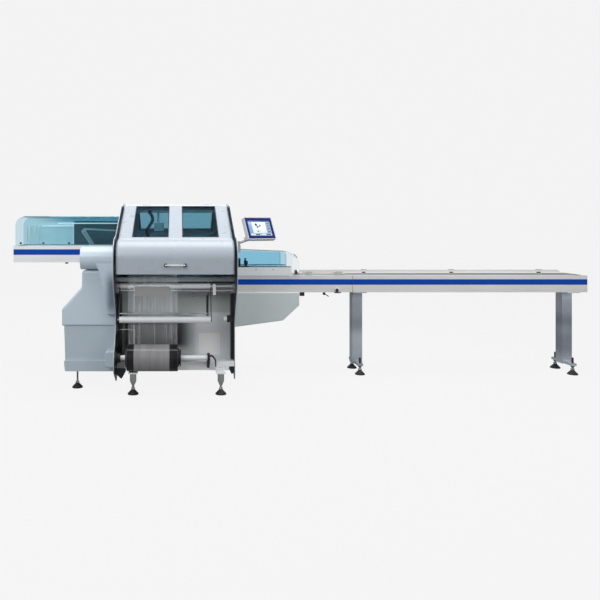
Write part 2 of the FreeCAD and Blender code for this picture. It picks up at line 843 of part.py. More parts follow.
def dancer_arms():
    """The two flat arms that hang from the pivot shaft and carry the dancer roller."""
    arms = []
    for x in (roller_left_x - 2 - dancer_arm_thickness, roller_right_x + 2):
        arm = prism(dancer_arm_outline(), "side", x, x + dancer_arm_thickness)
        arm = arm.cut(rod_along_x(x - 1, x + dancer_arm_thickness + 1, dancer_roller_y, dancer_roller_z,
                                  roller_shaft_radius + running_gap))
        arms.append(arm.cut(rod_along_x(x - 1, x + dancer_arm_thickness + 1, dancer_pivot_y, dancer_pivot_z,
                                        dancer_shaft_radius)))
    return Part.makeCompound(arms)


def dancer_roller():
    tube = rod_along_x(roller_left_x, roller_right_x, dancer_roller_y, dancer_roller_z, dancer_roller_radius)
    shaft = rod_along_x(roller_left_x - 14, roller_right_x + 14, dancer_roller_y, dancer_roller_z,
                        roller_shaft_radius)
    return join([tube, shaft])


def rounded_block(points, plane, low, high, radius):
    """A prism whose edges at its front level are rounded."""
    solid = prism(points, plane, low, high)
    front = [e for e in solid.Edges if abs(e.BoundBox.YMin - low) < 1e-3 and abs(e.BoundBox.YMax - low) < 1e-3]
    return solid.makeFillet(radius, front)


def upper_left_cover():
    """Moulded cover of the left housing: it widens below a shoulder and overhangs the lower cover."""
    points = [
        (housing_left, housing_seam_z, 6),
        (housing_left, housing_seam_z + 140, 40),
        (fairing_left + 6, housing_top_z - 138, 40),
        (fairing_left + 10, housing_top_z, 20),
        (wall_left_outer, housing_top_z, 0),
        (wall_left_outer, housing_seam_z, 0),
    ]
    return rounded_block(points, "front", housing_front_y, housing_rear_y, 18)


def lower_left_cover():
    """Lower cover with its projecting skirt and the moulded bulge over the reel bearing."""
    points = [
        (housing_left + 18, housing_seam_z, 4),
        (housing_left + 27, base_top, 0),
        (wall_left_outer, base_top, 0),
        (wall_left_outer, housing_seam_z, 0),
    ]
    cover = prism(points, "front", housing_front_y + 10, housing_rear_y - 10)
    skirt = [
        (housing_left + 20, base_top, 8),
        (housing_left + 28, housing_hem_z, 10),
        (wall_left_outer, housing_hem_z, 0),
        (wall_left_outer, base_top, 0),
    ]
    hem = prism(skirt, "front", housing_front_y - 12, housing_rear_y)
    cavity = box((housing_left + 40, wall_left_outer), (housing_front_y + 20, housing_rear_y - 20),
                 (housing_hem_z - 1, base_bottom + 40))
    return join([join([cover, hem]).cut(cavity), reel_bearing_cover()])


def elbow_fairing():
    """Rounded fairing round the foot of the outfeed arm, with a curved apron below and its seat."""
    front_section = [
        (conveyor_front_y, fairing_bottom_z, 0),
        (fairing_front_y, fairing_bottom_z, 80),
        (fairing_front_y, outfeed_rail_top + 6, 90),
        (conveyor_front_y, outfeed_rail_top + 6, 0),
    ]
    rear_section = [
        (conveyor_back_y, fairing_bottom_z, 0),
        (housing_rear_y, fairing_bottom_z, 60),
        (housing_rear_y, outfeed_rail_top + 6, 60),
        (conveyor_back_y, outfeed_rail_top + 6, 0),
    ]
    sleeves = [prism(s, "side", fairing_left, wall_left_outer) for s in (front_section, rear_section)]
    apron_foot_z = housing_seam_z + 100
    apron_outline = [
        (wall_left_outer - 178, fairing_bottom_z + 70, 0),
        (wall_left_outer - 140, fairing_bottom_z, 60),
        (wall_left_outer - 84, 760, 300),
        (wall_left_outer - 72, apron_foot_z, 10),
        (wall_left_outer, apron_foot_z, 0),
        (wall_left_outer, fairing_bottom_z + 70, 0),
    ]
    apron = rounded_block(apron_outline, "front", fairing_front_y + 4, housing_front_y, 10)
    seat = box((fairing_left + 70, wall_left_outer), (housing_front_y + 60, housing_rear_y - 60),
               (housing_top_z, fairing_bottom_z + 5))
    arm_pad = box((fairing_left + 70, wall_left_outer), (conveyor_front_y, conveyor_back_y),
                  (fairing_bottom_z, outfeed_rail_top - rail_height))
    return join(sleeves + [apron, seat, arm_pad])


def reel_bearing_cover():
    """Rounded bulge over the reel bearing, outside the left wall."""
    half = 68
    middle_z = reel_z - 22
    points = [
        (wall_left_outer - 78, middle_z - half, 26),
        (wall_left_outer, middle_z - half, 0),
        (wall_left_outer, middle_z + half, 0),
        (wall_left_outer - 78, middle_z + half, 26),
    ]
    return rounded_block(points, "front", -566, housing_front_y + 12, 12)


def foot_sockets():
    """Round sockets with tapered ends over the machine's feet."""
    taper = 30
    sockets = []
    for x, y in machine_feet:
        low = base_bottom - foot_socket_length
        collar = Part.makeCylinder(foot_socket_radius, foot_socket_length - taper, Vector(x, y, low + taper))
        cone = Part.makeCone(13, foot_socket_radius, taper, Vector(x, y, low))
        sockets.append(join([collar, cone]))
    return Part.makeCompound(sockets)


def foot_pad(x, y):
    """A domed rubber pad, turned from its half section."""
    section = [
        (0, 0, 0),
        (foot_pad_radius, 0, 0),
        (foot_pad_radius, foot_rim_height, 3),
        (foot_pad_radius * 0.62, foot_pad_height * 0.62, 26),
        (13, foot_pad_height, 5),
        (0, foot_pad_height, 0),
    ]
    pad = Part.Face(outline(section, "front")).revolve(Vector(0, 0, 0), Vector(0, 0, 1), 360)
    pad.translate(Vector(x, y, 0))
    return pad


def leg_feet():
    """Places of the feet under the legs of the infeed line."""
    spread = leg_foot_spread / 2
    return [(x, y) for x in leg_positions for y in (conveyor_middle_y - spread, conveyor_middle_y + spread)]


def foot_pads():
    return Part.makeCompound([foot_pad(x, y) for x, y in machine_feet + housing_feet + leg_feet()])


def foot_spindles():
    """Threaded spindles between the pads and what they carry, with a nut at the top of the bare ones."""
    spindles = []
    carried = [(machine_feet, base_bottom - foot_socket_length, foot_spindle_radius, False),
               (housing_feet, base_bottom, 7.0, True), (leg_feet(), leg_bar_bottom, foot_spindle_radius, True)]
    for feet, top, radius, has_nut in carried:
        for x, y in feet:
            spindle = Part.makeCylinder(radius, top - foot_pad_height, Vector(x, y, foot_pad_height))
            if has_nut:
                spindle = join([spindle, Part.makeCylinder(16, 12, Vector(x, y, top - 12))])
            spindles.append(spindle)
    return Part.makeCompound(spindles)


def rail_section(outer_y, inward, top):
    """Section of a side rail: a groove for the stripe, a lip line below and a hollow back."""
    y0 = outer_y
    y1 = outer_y + inward * stripe_depth
    y2 = outer_y + inward * rail_thickness
    stripe_top = top - stripe_drop
    stripe_bottom = stripe_top - stripe_height
    bottom = top - rail_height
    return [
        (y0, top, 0),
        (y0, stripe_top, 0),
        (y1, stripe_top, 0),
        (y1, stripe_bottom, 0),
        (y0, stripe_bottom, 0),
        (y0, bottom + 18, 0),
        (y1, bottom + 16, 0),
        (y0, bottom + 14, 0),
        (y0, bottom, 0),
        (y2, bottom, 0),
        (y2, bottom + 10, 0),
        (outer_y + inward * 8, bottom + 10, 0),
        (outer_y + inward * 8, top - 30, 0),
        (y2, top - 30, 0),
        (y2, top, 0),
    ]


def side_rail(front, top, x_from, x_to):
    outer_y = conveyor_front_y if front else conveyor_back_y
    return prism(rail_section(outer_y, 1 if front else -1, top), "side", x_from, x_to)


def stripe(front, top, x_from, x_to):
    outer_y = conveyor_front_y if front else conveyor_back_y
    inward = 1 if front else -1
    y_pair = sorted((outer_y + inward * 0.4, outer_y + inward * stripe_depth))
    return box((x_from, x_to), y_pair, (top - stripe_drop - stripe_height, top - stripe_drop))


def belt_loop(top, x_from, x_to):
    """An endless belt round two end rollers."""
    half = belt_roller_radius + belt_thickness
    surface = top + belt_rise
    low = surface - 2 * half
    y_from = conveyor_front_y + rail_thickness + belt_side_gap
    y_to = conveyor_back_y - rail_thickness - belt_side_gap
    outer = [(x_from, low, half - 0.01), (x_to, low, half - 0.01), (x_to, surface, half - 0.01),
             (x_from, surface, half - 0.01)]
    t = belt_thickness
    radius = belt_roller_radius - 0.01
    inner = [(x_from + t, low + t, radius), (x_to - t, low + t, radius), (x_to - t, surface - t, radius),
             (x_from + t, surface - t, radius)]
    return prism(outer, "front", y_from, y_to).cut(prism(inner, "front", y_from - 1, y_to + 1))


def belt_rollers():
    """End rollers inside both belts, with their axles in the rails' backs."""
    half = belt_roller_radius + belt_thickness
    y_from = conveyor_front_y + rail_thickness + belt_side_gap
    y_to = conveyor_back_y - rail_thickness - belt_side_gap
    rollers = []
    for top, (x_from, x_to) in ((infeed_rail_top, infeed_belt_span), (outfeed_rail_top, outfeed_belt_span)):
        z = top + belt_rise - half
        for x in (x_from + half, x_to - half):
            drum = rod(Vector(x, y_from + 2, z), Vector(x, y_to - 2, z), belt_roller_radius)
            axle = rod(Vector(x, conveyor_front_y + 8, z), Vector(x, conveyor_back_y - 8, z), 10)
            rollers.append(join([drum, axle]))
    return Part.makeCompound(rollers)


def slider_bed(top, x_from, x_to):
    """Plate under the carrying run of the belt, held between the rails."""
    surface = top + belt_rise - belt_thickness
    half = belt_roller_radius + belt_thickness
    span = (x_from + 2 * half + 8, x_to - 2 * half - 8)
    plate = box(span, (conveyor_front_y + rail_thickness, conveyor_back_y - rail_thickness),
                (surface - bed_thickness, surface))
    return plate


infeed_spans = [
    (infeed_start_x, rail_seam_x),
    (rail_seam_x + rail_seam_gap, line_right),
]


def infeed_frame():
    """Both side rails in two lengths, tied together by the belt's slider bed."""
    rails = [side_rail(front, infeed_rail_top, a, b) for front in (True, False) for a, b in infeed_spans]
    return join(rails + [slider_bed(infeed_rail_top, *infeed_belt_span)])


def blue_stripes():
    """The inlaid stripes of every rail."""
    strips = [stripe(front, infeed_rail_top, a, b) for front in (True, False) for a, b in infeed_spans]
    strips += [stripe(front, outfeed_rail_top, line_left, fairing_left) for front in (True, False)]
    return Part.makeCompound(strips)


def outfeed_frame():
    rails = [side_rail(front, outfeed_rail_top, line_left, wall_left_outer) for front in (True, False)]
    bed_span = (outfeed_belt_span[0], wall_left_outer)
    return join(rails + [slider_bed(outfeed_rail_top, *bed_span)])


infeed_belt_span = (wall_right_inner - 60, line_right - 6)
outfeed_belt_span = (line_left + 6, wall_left_inner + 60)


def infeed_guard_rails():
    """Light side plates under the infeed guard, with end blocks that clip to the conveyor."""
    t = guard_rail_thickness
    plates = []
    for y_from in (conveyor_front_y - t, conveyor_back_y):
        pieces = [box((wall_right_outer, guard_rail_right), (y_from, y_from + t),
                      (guard_rail_bottom, guard_rail_top))]
        for x_from, x_to in ((wall_right_outer, wall_right_outer + 60), (guard_rail_right - 26, guard_rail_right)):
            pieces.append(box((x_from, x_to), (y_from, y_from + t), (infeed_rail_top - 20, guard_rail_bottom)))
        plates.append(join(pieces))
    return Part.makeCompound(plates)


def clear_guard(x_from, x_to, y_from, y_to, bottom, top, round_end):
    """A bent clear sheet: front, top and back in one, its open end cut to a curve."""
    t = cover_sheet
    outer = prism([(y_from, bottom, 0), (y_to, bottom, 0), (y_to, top, 36), (y_from, top, 36)],
                  "side", x_from, x_to)
    inner = prism([(y_from + t, bottom - 1, 0), (y_to - t, bottom - 1, 0), (y_to - t, top - t, 36 - t),
                   (y_from + t, top - t, 36 - t)], "side", x_from - 1, x_to + 1)
    return outer.cut(inner).common(prism(round_end, "front", y_from - 5, y_to + 5))


def outfeed_cover():
    right = wall_left_outer
    shape = [
        (outfeed_cover_left, outfeed_rail_top, 0),
        (right, outfeed_rail_top, 0),
        (right, outfeed_cover_top, 0),
        (outfeed_cover_left, outfeed_cover_top, 88),
    ]
    return clear_guard(outfeed_cover_left, right, conveyor_front_y + cover_inset,
                       conveyor_back_y - cover_inset, outfeed_rail_top, outfeed_cover_top, shape)


def infeed_cover():
    """Clear guard over the infeed: its top slopes to a rounded end that trays enter from the right."""
    t = cover_sheet
    left = wall_right_outer
    right = infeed_cover_right
    y_from = conveyor_front_y - guard_rail_thickness
    y_to = conveyor_back_y + guard_rail_thickness
    end_top = infeed_cover_top - infeed_cover_fall
    shape = [
        (left, guard_rail_top, 0),
        (guard_rail_right + 4, guard_rail_top, 0),
        (guard_rail_right + 4, infeed_cover_end_bottom, 6),
        (right, infeed_cover_end_bottom, 8),
        (right, end_top, 105),
        (left, infeed_cover_top, 0),
    ]
    hollow = [
        (left - 1, infeed_cover_end_bottom - 50, 0),
        (right - t, infeed_cover_end_bottom - 50, 0),
        (right - t, end_top - t, 105 - t),
        (left - 1, infeed_cover_top - t, 0),
    ]
    cover = prism(shape, "front", y_from, y_to).cut(prism(hollow, "front", y_from + t, y_to - t))
    return cover.cut(box((right - 60, right + 1), (y_from + t, y_to - t),
                         (infeed_rail_top, infeed_rail_top + infeed_mouth_height)))


def outlet_liner():
    """Pleated liner at the outlet and a plain light plate beside it, inside the guard's rear sheet."""
    y_back = conveyor_back_y - cover_inset - cover_sheet
    x_from = liner_left
    top = outfeed_cover_top - liner_drop
    pitch = 29.0
    pleats = 5
    points = [(x_from, y_back, 0)]
    for i in range(pleats):
        x = x_from + i * pitch
        points.append((x + 2, y_back - 4, 0))
        points.append((x + pitch / 2, y_back - 12, 5))
    x_to = x_from + pleats * pitch
    points += [(x_to, y_back - 4, 0), (x_to, y_back, 0)]
    liner = prism(points, "plan", outfeed_rail_top, top)
    plate = box((x_to, heater_left), (y_back - 4, y_back), (outfeed_rail_top, top))
    return join([liner, plate])


def heater_housing():
    """Dark heater housing along the back of the outfeed tunnel."""
    y_back = conveyor_back_y - cover_inset - cover_sheet
    points = [
        (heater_left, outfeed_rail_top, 0),
        (wall_left_outer, outfeed_rail_top, 0),
        (wall_left_outer, outfeed_cover_top - heater_drop, 0),
        (heater_left, outfeed_cover_top - heater_drop, 12),
    ]
    return prism(points, "front", y_back - 18, y_back)


def press_frame():
    """Perforated slanting bar and top rail that hold the trays down at the sealing belt."""
    y_front = conveyor_front_y + cover_inset + cover_sheet + 6
    bar_top = outfeed_rail_top + 159
    bar_left = heater_left + 107
    outer = [
        (bar_left, bar_top - 30, 10),
        (bar_left + 28, bar_top, 10),
        (wall_left_outer, bar_top - 20, 0),
        (wall_left_outer, bar_top - 32, 0),
        (bar_left + 38, bar_top - 16, 8),
        (bar_left + 128, outfeed_rail_top, 0),
        (bar_left + 88, outfeed_rail_top, 0),
    ]
    bar = prism(outer, "front", y_front, y_front + 6)
    holes = 6
    for i in range(holes):
        share = (i + 0.8) / holes
        x = bar_left + 20 + share * 90
        z = bar_top - 25 - share * (bar_top - 33 - outfeed_rail_top)
        bar = bar.cut(rod(Vector(x, y_front - 1, z), Vector(x, y_front + 8, z), 6))
    return bar


def infeed_drive_housing():
    """Slanted housing of the infeed drive, hung under the conveyor beside the machine."""
    top = infeed_rail_top - rail_height
    right = infeed_cover_right + 3
    points = [
        (wall_right_outer, top, 0),
        (right, top, 6),
        (right, top - 116, 14),
        (right - 147, top - 254, 14),
        (wall_right_outer, top - 319, 0),
    ]
    return rounded_block(points, "front", conveyor_front_y - 12, conveyor_back_y + 12, 8)


def guide_rails():
    """Tray guides over the belt: a long one at the back with a slanted end, a short one at the front."""
    low = infeed_rail_top + 14
    high = infeed_rail_top + 34
    start = infeed_cover_right + 35
    slanted = [(start, low, 0), (rear_guide_end, low, 0), (rear_guide_end - 26, high, 4), (start, high, 0)]
    y_back = conveyor_back_y - rail_thickness - 8
    y_front = conveyor_front_y + rail_thickness + 8
    return Part.makeCompound([prism(slanted, "front", y_back - 8, y_back),
                              box((start, front_guide_end), (y_front, y_front + 8), (low, high))])


def guide_clamp(x, y_rail, y_guide):
    """Clamp of a tray guide: a foot on the rail, a bridge to the guide and a tilted handle on top."""
    foot = box((x - 14, x + 14), sorted((y_rail, y_rail + math.copysign(20, y_guide - y_rail))),
               (infeed_rail_top, infeed_rail_top + 22))
    bridge = box((x - 14, x + 14), sorted((y_rail, y_guide)), (infeed_rail_top + 14, infeed_rail_top + 22))
    handle = [(x - 38, infeed_rail_top + 18, 5), (x + 22, infeed_rail_top + 18, 2),
              (x + 38, infeed_rail_top + 34, 4), (x - 20, infeed_rail_top + 36, 6), (x - 38, infeed_rail_top + 28, 5)]
    y_near, y_far = sorted((y_rail + math.copysign(2, y_guide - y_rail), y_rail + math.copysign(18, y_guide - y_rail)))
    return join([foot, bridge, prism(handle, "front", y_near, y_far)])


def black_grips():
    """Guide clamps on the rails, knobs of the outfeed guard and turning grips over the leg feet."""
    y_front, y_back = conveyor_front_y, conveyor_back_y
    reach = rail_thickness + 8
    grips = [guide_clamp(x, y_back - 4, y_back - reach) for x in rear_clamps]
    grips.append(guide_clamp(front_guide_end - 60, y_front + 4, y_front + reach))
    grips.append(guide_clamp(infeed_cover_right + 95, y_front + 4, y_front + reach))
    for x in (line_left + 67.0, line_left + 272.0, line_left + 504.0):
        for y, outward in ((y_front + cover_inset, -1), (y_back - cover_inset, 1)):
            start = Vector(x, y, outfeed_rail_top + 22)
            grips.append(rod(start, start + Vector(0, outward * 12, 0), 9))
    for x, y in leg_feet():
        grips.append(Part.makeCylinder(9, 50, Vector(x, y, leg_bar_bottom + leg_bar_height)))
    buffer_z = outfeed_rail_top - rail_height - 12
    grips.append(Part.makeCylinder(14, 12, Vector(line_left + 480.0, y_front + 14, buffer_z)))
    return Part.makeCompound(grips)


def conveyor_legs():
    """Square posts with a head plate under the rails and a foot bar across."""
    legs = []
    bottom = infeed_rail_top - rail_height
    for x in leg_positions:
        post = box((x - leg_width / 2, x + leg_width / 2),
                   (conveyor_middle_y - leg_depth / 2, conveyor_middle_y + leg_depth / 2),
                   (leg_bar_bottom, bottom - 8))
        head = box((x - leg_width / 2 - 12, x + leg_width / 2 + 12), (conveyor_front_y, conveyor_back_y),
                   (bottom - 8, bottom))
        reach = leg_foot_spread / 2 + 22
        bar = box((x - leg_bar_width / 2, x + leg_bar_width / 2),
                  (conveyor_middle_y - reach, conveyor_middle_y + reach),
                  (leg_bar_bottom, leg_bar_bottom + leg_bar_height))
        legs.append(join([post, head, bar]))
    return Part.makeCompound(legs)


def sensor_disc():
    """Round reflector plate of the tray sensor, on the front rail."""
    z = infeed_rail_top - rail_height + 26
    plate = rod(Vector(sensor_x, conveyor_front_y, z), Vector(sensor_x, conveyor_front_y - 4, z), 26)
    return plate.cut(box((sensor_x - 40, sensor_x + 40), (conveyor_front_y - 5, conveyor_front_y + 1), (z - 40, z - 20)))


def line_fittings():
    """The tray sensor before its reflector, with its foot under the rail, and a ball-ended clamping lever."""
    under = infeed_rail_top - rail_height
    eye_z = under + 22
    front = conveyor_front_y - 4
    eye = rod(Vector(sensor_x - 8, front, eye_z), Vector(sensor_x - 8, front - 20, eye_z), 12)
    stand = box((sensor_x - 16, sensor_x), (front - 16, front), (under - 4, eye_z))
    foot = box((sensor_x - 30, sensor_x + 26), (front - 18, conveyor_front_y + 10), (under - 6, under))
    hub = Vector(line_right - 2382, conveyor_front_y + 14, under - 14)
    stem = Part.makeCylinder(7, 14, hub)
    lever = rod(hub, hub + Vector(40, -8, -24), 4)
    bracket = box((infeed_cover_right + 8, infeed_cover_right + 52), (conveyor_front_y + 4, conveyor_front_y + 8),
                  (under - 34, under))
    return Part.makeCompound([join([eye, stand, foot]), join([stem, Part.makeSphere(13, hub), lever]), bracket])


def panel_axes():
    """The operator panel's own directions: along its width, up its face and out of its face."""
    turn = math.radians(panel_turn)
    lean = math.radians(panel_lean)
    flat_out = Vector(math.sin(turn), -math.cos(turn), 0)
    across = Vector(math.cos(turn), math.sin(turn), 0)
    out = flat_out * math.cos(lean) + Vector(0, 0, math.sin(lean))
    up = Vector(0, 0, math.cos(lean)) - flat_out * math.sin(lean)
    return across, up, out


def panel_point(a, b, c):
    across, up, out = panel_axes()
    return panel_centre + across * a + up * b + out * c


def panel_box(a_range, b_range, c_range):
    """A block given in the operator panel's own directions."""
    corner = [panel_point(a, b, c_range[0]) for a, b in (
        (a_range[0], b_range[0]), (a_range[1], b_range[0]), (a_range[1], b_range[1]), (a_range[0], b_range[1]))]
    face = Part.Face(Part.makePolygon(corner + [corner[0]]))
    out = panel_axes()[2]
    return face.extrude(out * (c_range[1] - c_range[0]))


tilt_a = -90.0
tilt_b = -60.0
tilt_c = -panel_depth / 2 - 16.0


def operator_panel():
    """Housing of the operator panel, with the ear of its tilt hinge."""
    half_w = panel_width / 2
    half_h = panel_height / 2
    shell = panel_box((-half_w, half_w), (-half_h, half_h), (-panel_depth / 2, panel_depth / 2))
    long_edges = [e for e in shell.Edges if abs(e.Length - panel_depth) < 1e-3]
    shell = shell.makeFillet(10, long_edges)
    recess = panel_box((-half_w + 7, half_w - 7), (-half_h + 7, half_h - 7), (panel_depth / 2 - 3, panel_depth))
    ear = panel_box((tilt_a - 12, tilt_a + 12), (tilt_b - 14, tilt_b + 14), (tilt_c - 14, -panel_depth / 2))
    bore = rod(panel_point(tilt_a - 40, tilt_b, tilt_c), panel_point(tilt_a + 40, tilt_b, tilt_c),
               6 + running_gap)
    return join([shell.cut(recess), ear]).cut(bore)


def panel_screen():
    half_w = panel_width / 2 - 7
    half_h = panel_height / 2 - 7
    return panel_box((-half_w, half_w), (-half_h, half_h), (panel_depth / 2 - 3, panel_depth / 2 - 0.5))


def panel_arm():
    """Bent tube arm: a collar on the swivel pin below, a fork and tilt pin above."""
    collar = Part.makeCylinder(17, 34, Vector(swivel_x, swivel_y, swivel_z))
    knee = panel_point(tilt_a, tilt_b - 6, tilt_c - 40)
    tube = rod(Vector(swivel_x, swivel_y, swivel_z + 17), knee, 11)
    pieces = [collar, tube, Part.makeSphere(11, knee)]
    pieces.append(panel_box((tilt_a - 24, tilt_a + 24), (tilt_b - 12, tilt_b + 12), (tilt_c - 42, tilt_c - 20)))
    for side in (-1, 1):
        low, high = sorted((tilt_a + side * 13, tilt_a + side * 24))
        pieces.append(panel_box((low, high), (tilt_b - 12, tilt_b + 12), (tilt_c - 22, tilt_c + 10)))
    pieces.append(rod(panel_point(tilt_a - 22, tilt_b, tilt_c), panel_point(tilt_a + 22, tilt_b, tilt_c), 6))
    arm = join(pieces)
    return arm.cut(Part.makeCylinder(9 + running_gap, 40, Vector(swivel_x, swivel_y, swivel_z - 1)))


def swivel_bracket():
    """Block on the right wall with the upright swivel pin."""
    block = box((wall_right_inner + 6, swivel_x + 20), (swivel_y - 20, swivel_y + 20),
                (swivel_z - 60, swivel_z - 0.5))
    pin = Part.makeCylinder(9, 30.5, Vector(swivel_x, swivel_y, swivel_z - 1))
    return join([block, pin])


sub_parts = {
    "left_side_wall": left_side_wall,
    "right_side_wall": right_side_wall,
    "base_tray": base_tray,
    "rear_enclosure": rear_enclosure,
    "rear_windows": rear_windows,
    "hood_shell": hood_shell,
    "hood_windows": hood_windows,
    "hood_handle": hood_handle,
    "folding_deck": folding_deck,
    "gripper_beam": gripper_beam,
    "cable_chain": cable_chain,
    "bay_panels": bay_panels,
    "bay_channels": bay_channels,
    "toe_brackets": toe_brackets,
    "bay_bearings": bay_bearings,
    "film_web": film_web,
    "reel_shaft": reel_shaft,
    "film_roll": film_roll,
    "reel_flanges": reel_flanges,
    "reel_latch": reel_latch,
    "brake_block": brake_block,
    "brake_knob": brake_knob,
    "upper_roller": upper_roller,
    "feed_roller": feed_roller,
    "dancer_frame": dancer_frame,
    "dancer_arms": dancer_arms,
    "dancer_roller": dancer_roller,
    "upper_left_cover": upper_left_cover,
    "lower_left_cover": lower_left_cover,
    "elbow_fairing": elbow_fairing,
    "foot_sockets": foot_sockets,
    "foot_spindles": foot_spindles,
    "foot_pads": foot_pads,
    "outfeed_frame": outfeed_frame,
    "outfeed_belt": lambda: belt_loop(outfeed_rail_top, *outfeed_belt_span),
    "outfeed_cover": outfeed_cover,
    "outlet_liner": outlet_liner,
    "heater_housing": heater_housing,
    "press_frame": press_frame,
    "infeed_frame": infeed_frame,
    "infeed_belt": lambda: belt_loop(infeed_rail_top, *infeed_belt_span),
    "belt_rollers": belt_rollers,
    "blue_stripes": blue_stripes,
    "infeed_guard_rails": infeed_guard_rails,
    "infeed_cover": infeed_cover,
    "infeed_drive_housing": infeed_drive_housing,
    "guide_rails": guide_rails,
    "black_grips": black_grips,
    "line_fittings": line_fittings,
    "sensor_disc": sensor_disc,
    "conveyor_legs": conveyor_legs,
    "operator_panel": operator_panel,
    "panel_screen": panel_screen,
    "panel_arm": panel_arm,
}

whole = []
for node, make in sub_parts.items():
    shape = make()
    for solid in shape.Solids:
        if not solid.isValid():
            print("not valid:", node)
    whole.append(shape)
    print(node, len(shape.Solids), "solids", round(shape.Volume / 1e6, 2), "litres")
    shape.exportStep(f"parts/{node}.step")
extent = Part.makeCompound(whole).BoundBox
print(len(sub_parts), "nodes within x", extent.XMin, extent.XMax, "y", extent.YMin, extent.YMax,
      "z", extent.ZMin, extent.ZMax)
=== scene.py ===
import bmesh
import bpy
import json
import math
from mathutils import Matrix, Vector


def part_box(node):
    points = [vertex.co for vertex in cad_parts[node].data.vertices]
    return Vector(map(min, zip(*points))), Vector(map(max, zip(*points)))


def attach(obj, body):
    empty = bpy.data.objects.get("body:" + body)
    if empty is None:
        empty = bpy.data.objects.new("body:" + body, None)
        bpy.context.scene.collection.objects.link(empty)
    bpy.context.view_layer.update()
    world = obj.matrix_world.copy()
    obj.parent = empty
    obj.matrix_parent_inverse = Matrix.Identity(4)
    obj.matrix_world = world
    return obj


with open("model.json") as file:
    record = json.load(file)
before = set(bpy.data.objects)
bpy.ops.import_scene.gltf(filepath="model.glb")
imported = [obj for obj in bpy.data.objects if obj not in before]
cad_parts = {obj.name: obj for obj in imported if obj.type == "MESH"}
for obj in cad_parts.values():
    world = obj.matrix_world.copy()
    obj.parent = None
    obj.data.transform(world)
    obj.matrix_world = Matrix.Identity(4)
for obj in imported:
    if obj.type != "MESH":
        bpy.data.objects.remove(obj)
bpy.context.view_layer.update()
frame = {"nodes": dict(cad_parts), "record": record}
nodes = frame["nodes"]

# %% [markdown]
# The photograph was taken from the operator's side, level, from about five and a half metres away. The
# lens looks straight along the +Y axis, and the picture was framed by shifting it sideways and down, which
# keeps every upright edge upright. A shifted camera does the same here, so no edge converges that doesn't
# converge in the photograph.

# %% Camera
camera_data = bpy.data.cameras.new("camera")
camera_data.sensor_width = 36.0
camera_data.lens = 37.2
photo_size, axis_pixel_x, horizon_pixel_y = 600, 178, 225.8
camera_data.shift_x = (photo_size / 2 - axis_pixel_x) / photo_size
camera_data.shift_y = -(photo_size / 2 - horizon_pixel_y) / photo_size
camera_data.clip_end = 100
camera = bpy.data.objects.new("camera", camera_data)
camera.location = (-1.109, -5.565, 1.35)
camera.rotation_euler = (math.radians(90), 0, 0)
bpy.context.scene.collection.objects.link(camera)
bpy.context.scene.camera = camera
print("camera", [round(v, 3) for v in camera.location], "lens", camera_data.lens)

# %% [markdown]
# A product shot like this one has a pale floor that runs into a pale wall without a corner, and big soft
# lights. The floor is one very wide sheet, and the world behind it gets the same tone in the next cell, so
# no horizon shows. Large area lights give the broad soft highlights that enamelled sheet metal needs.

# %% Floor, backdrop and lights
def activate(piece):
    """Leaves only this piece selected and active."""
    bpy.ops.object.select_all(action="DESELECT")
    piece.select_set(True)
    bpy.context.view_layer.objects.active = piece


def start(add, **size_and_place):
    """Adds a primitive with nothing else selected, and returns it."""
    bpy.ops.object.select_all(action="DESELECT")
    add(**size_and_place)
    return bpy.context.active_object


def select_faces(piece, wanted):
    """In edit mode, selects the faces for which wanted(centre, normal) is true."""
    mesh = bmesh.from_edit_mesh(piece.data)
    for element in (*mesh.verts, *mesh.edges, *mesh.faces):
        element.select_set(False)
    for face in mesh.faces:
        if wanted(face.calc_center_median(), face.normal):
            face.select_set(True)
    bmesh.update_edit_mesh(piece.data)


floor = start(bpy.ops.mesh.primitive_plane_add, size=60)
floor.name = "floor"


def area_light(name, place, aim, size, power, colour=(1, 1, 1)):
    """A soft rectangular light at a place, turned towards another place."""
    data = bpy.data.lights.new(name, "AREA")
    data.shape = "RECTANGLE"
    data.size, data.size_y = size
    data.energy = power
    data.color = colour
    light = bpy.data.objects.new(name, data)
    light.location = place
    light.rotation_euler = (Vector(aim) - Vector(place)).to_track_quat("-Z", "Y").to_euler()
    bpy.context.scene.collection.objects.link(light)
    return light


area_light("top", (-0.6, -0.6, 4.6), (-0.6, 0.0, 0.9), (6.5, 2.6), 185, (1.0, 0.985, 0.96))
area_light("key", (-3.8, -5.2, 3.4), (-1.2, 0, 0.9), (3.0, 2.2), 104)
area_light("fill", (4.2, -5.6, 2.4), (0.6, 0, 0.7), (3.6, 2.4), 76)
area_light("back", (-1.0, 4.5, 3.2), (-1.0, 0.4, 1.1), (4.5, 2.2), 70)
print(len(bpy.data.lights), "lights over a floor of", round(floor.dimensions.x), "m")

# %% [markdown]
# The backdrop of the photograph is one even, nearly white tone without a shadow. A white floor alone would
# go grey away from the lights, so the floor glows a little by itself, and the world behind it is set to the
# same tone for the camera only. What falls on the machine is softer than what the camera sees. The view
# transform is the plain one, so that whites stay white and the enamel keeps its blue.

# %% World and floor tone
bpy.context.scene.view_settings.view_transform = "Standard"
backdrop_tone = (0.896, 0.896, 0.896)
light_colour, light_strength = (0.90, 0.95, 1.0), 0.40
floor_glow = (0.22, 0.985)


def camera_or_glass(tree):
    """1 for what the camera sees, also through glass, and 0 for what falls on the machine."""
    ray = tree.nodes.new("ShaderNodeLightPath")
    either = tree.nodes.new("ShaderNodeMath")
    either.operation = "MAXIMUM"
    tree.links.new(ray.outputs["Is Camera Ray"], either.inputs[0])
    tree.links.new(ray.outputs["Is Transmission Ray"], either.inputs[1])
    return either.outputs[0]


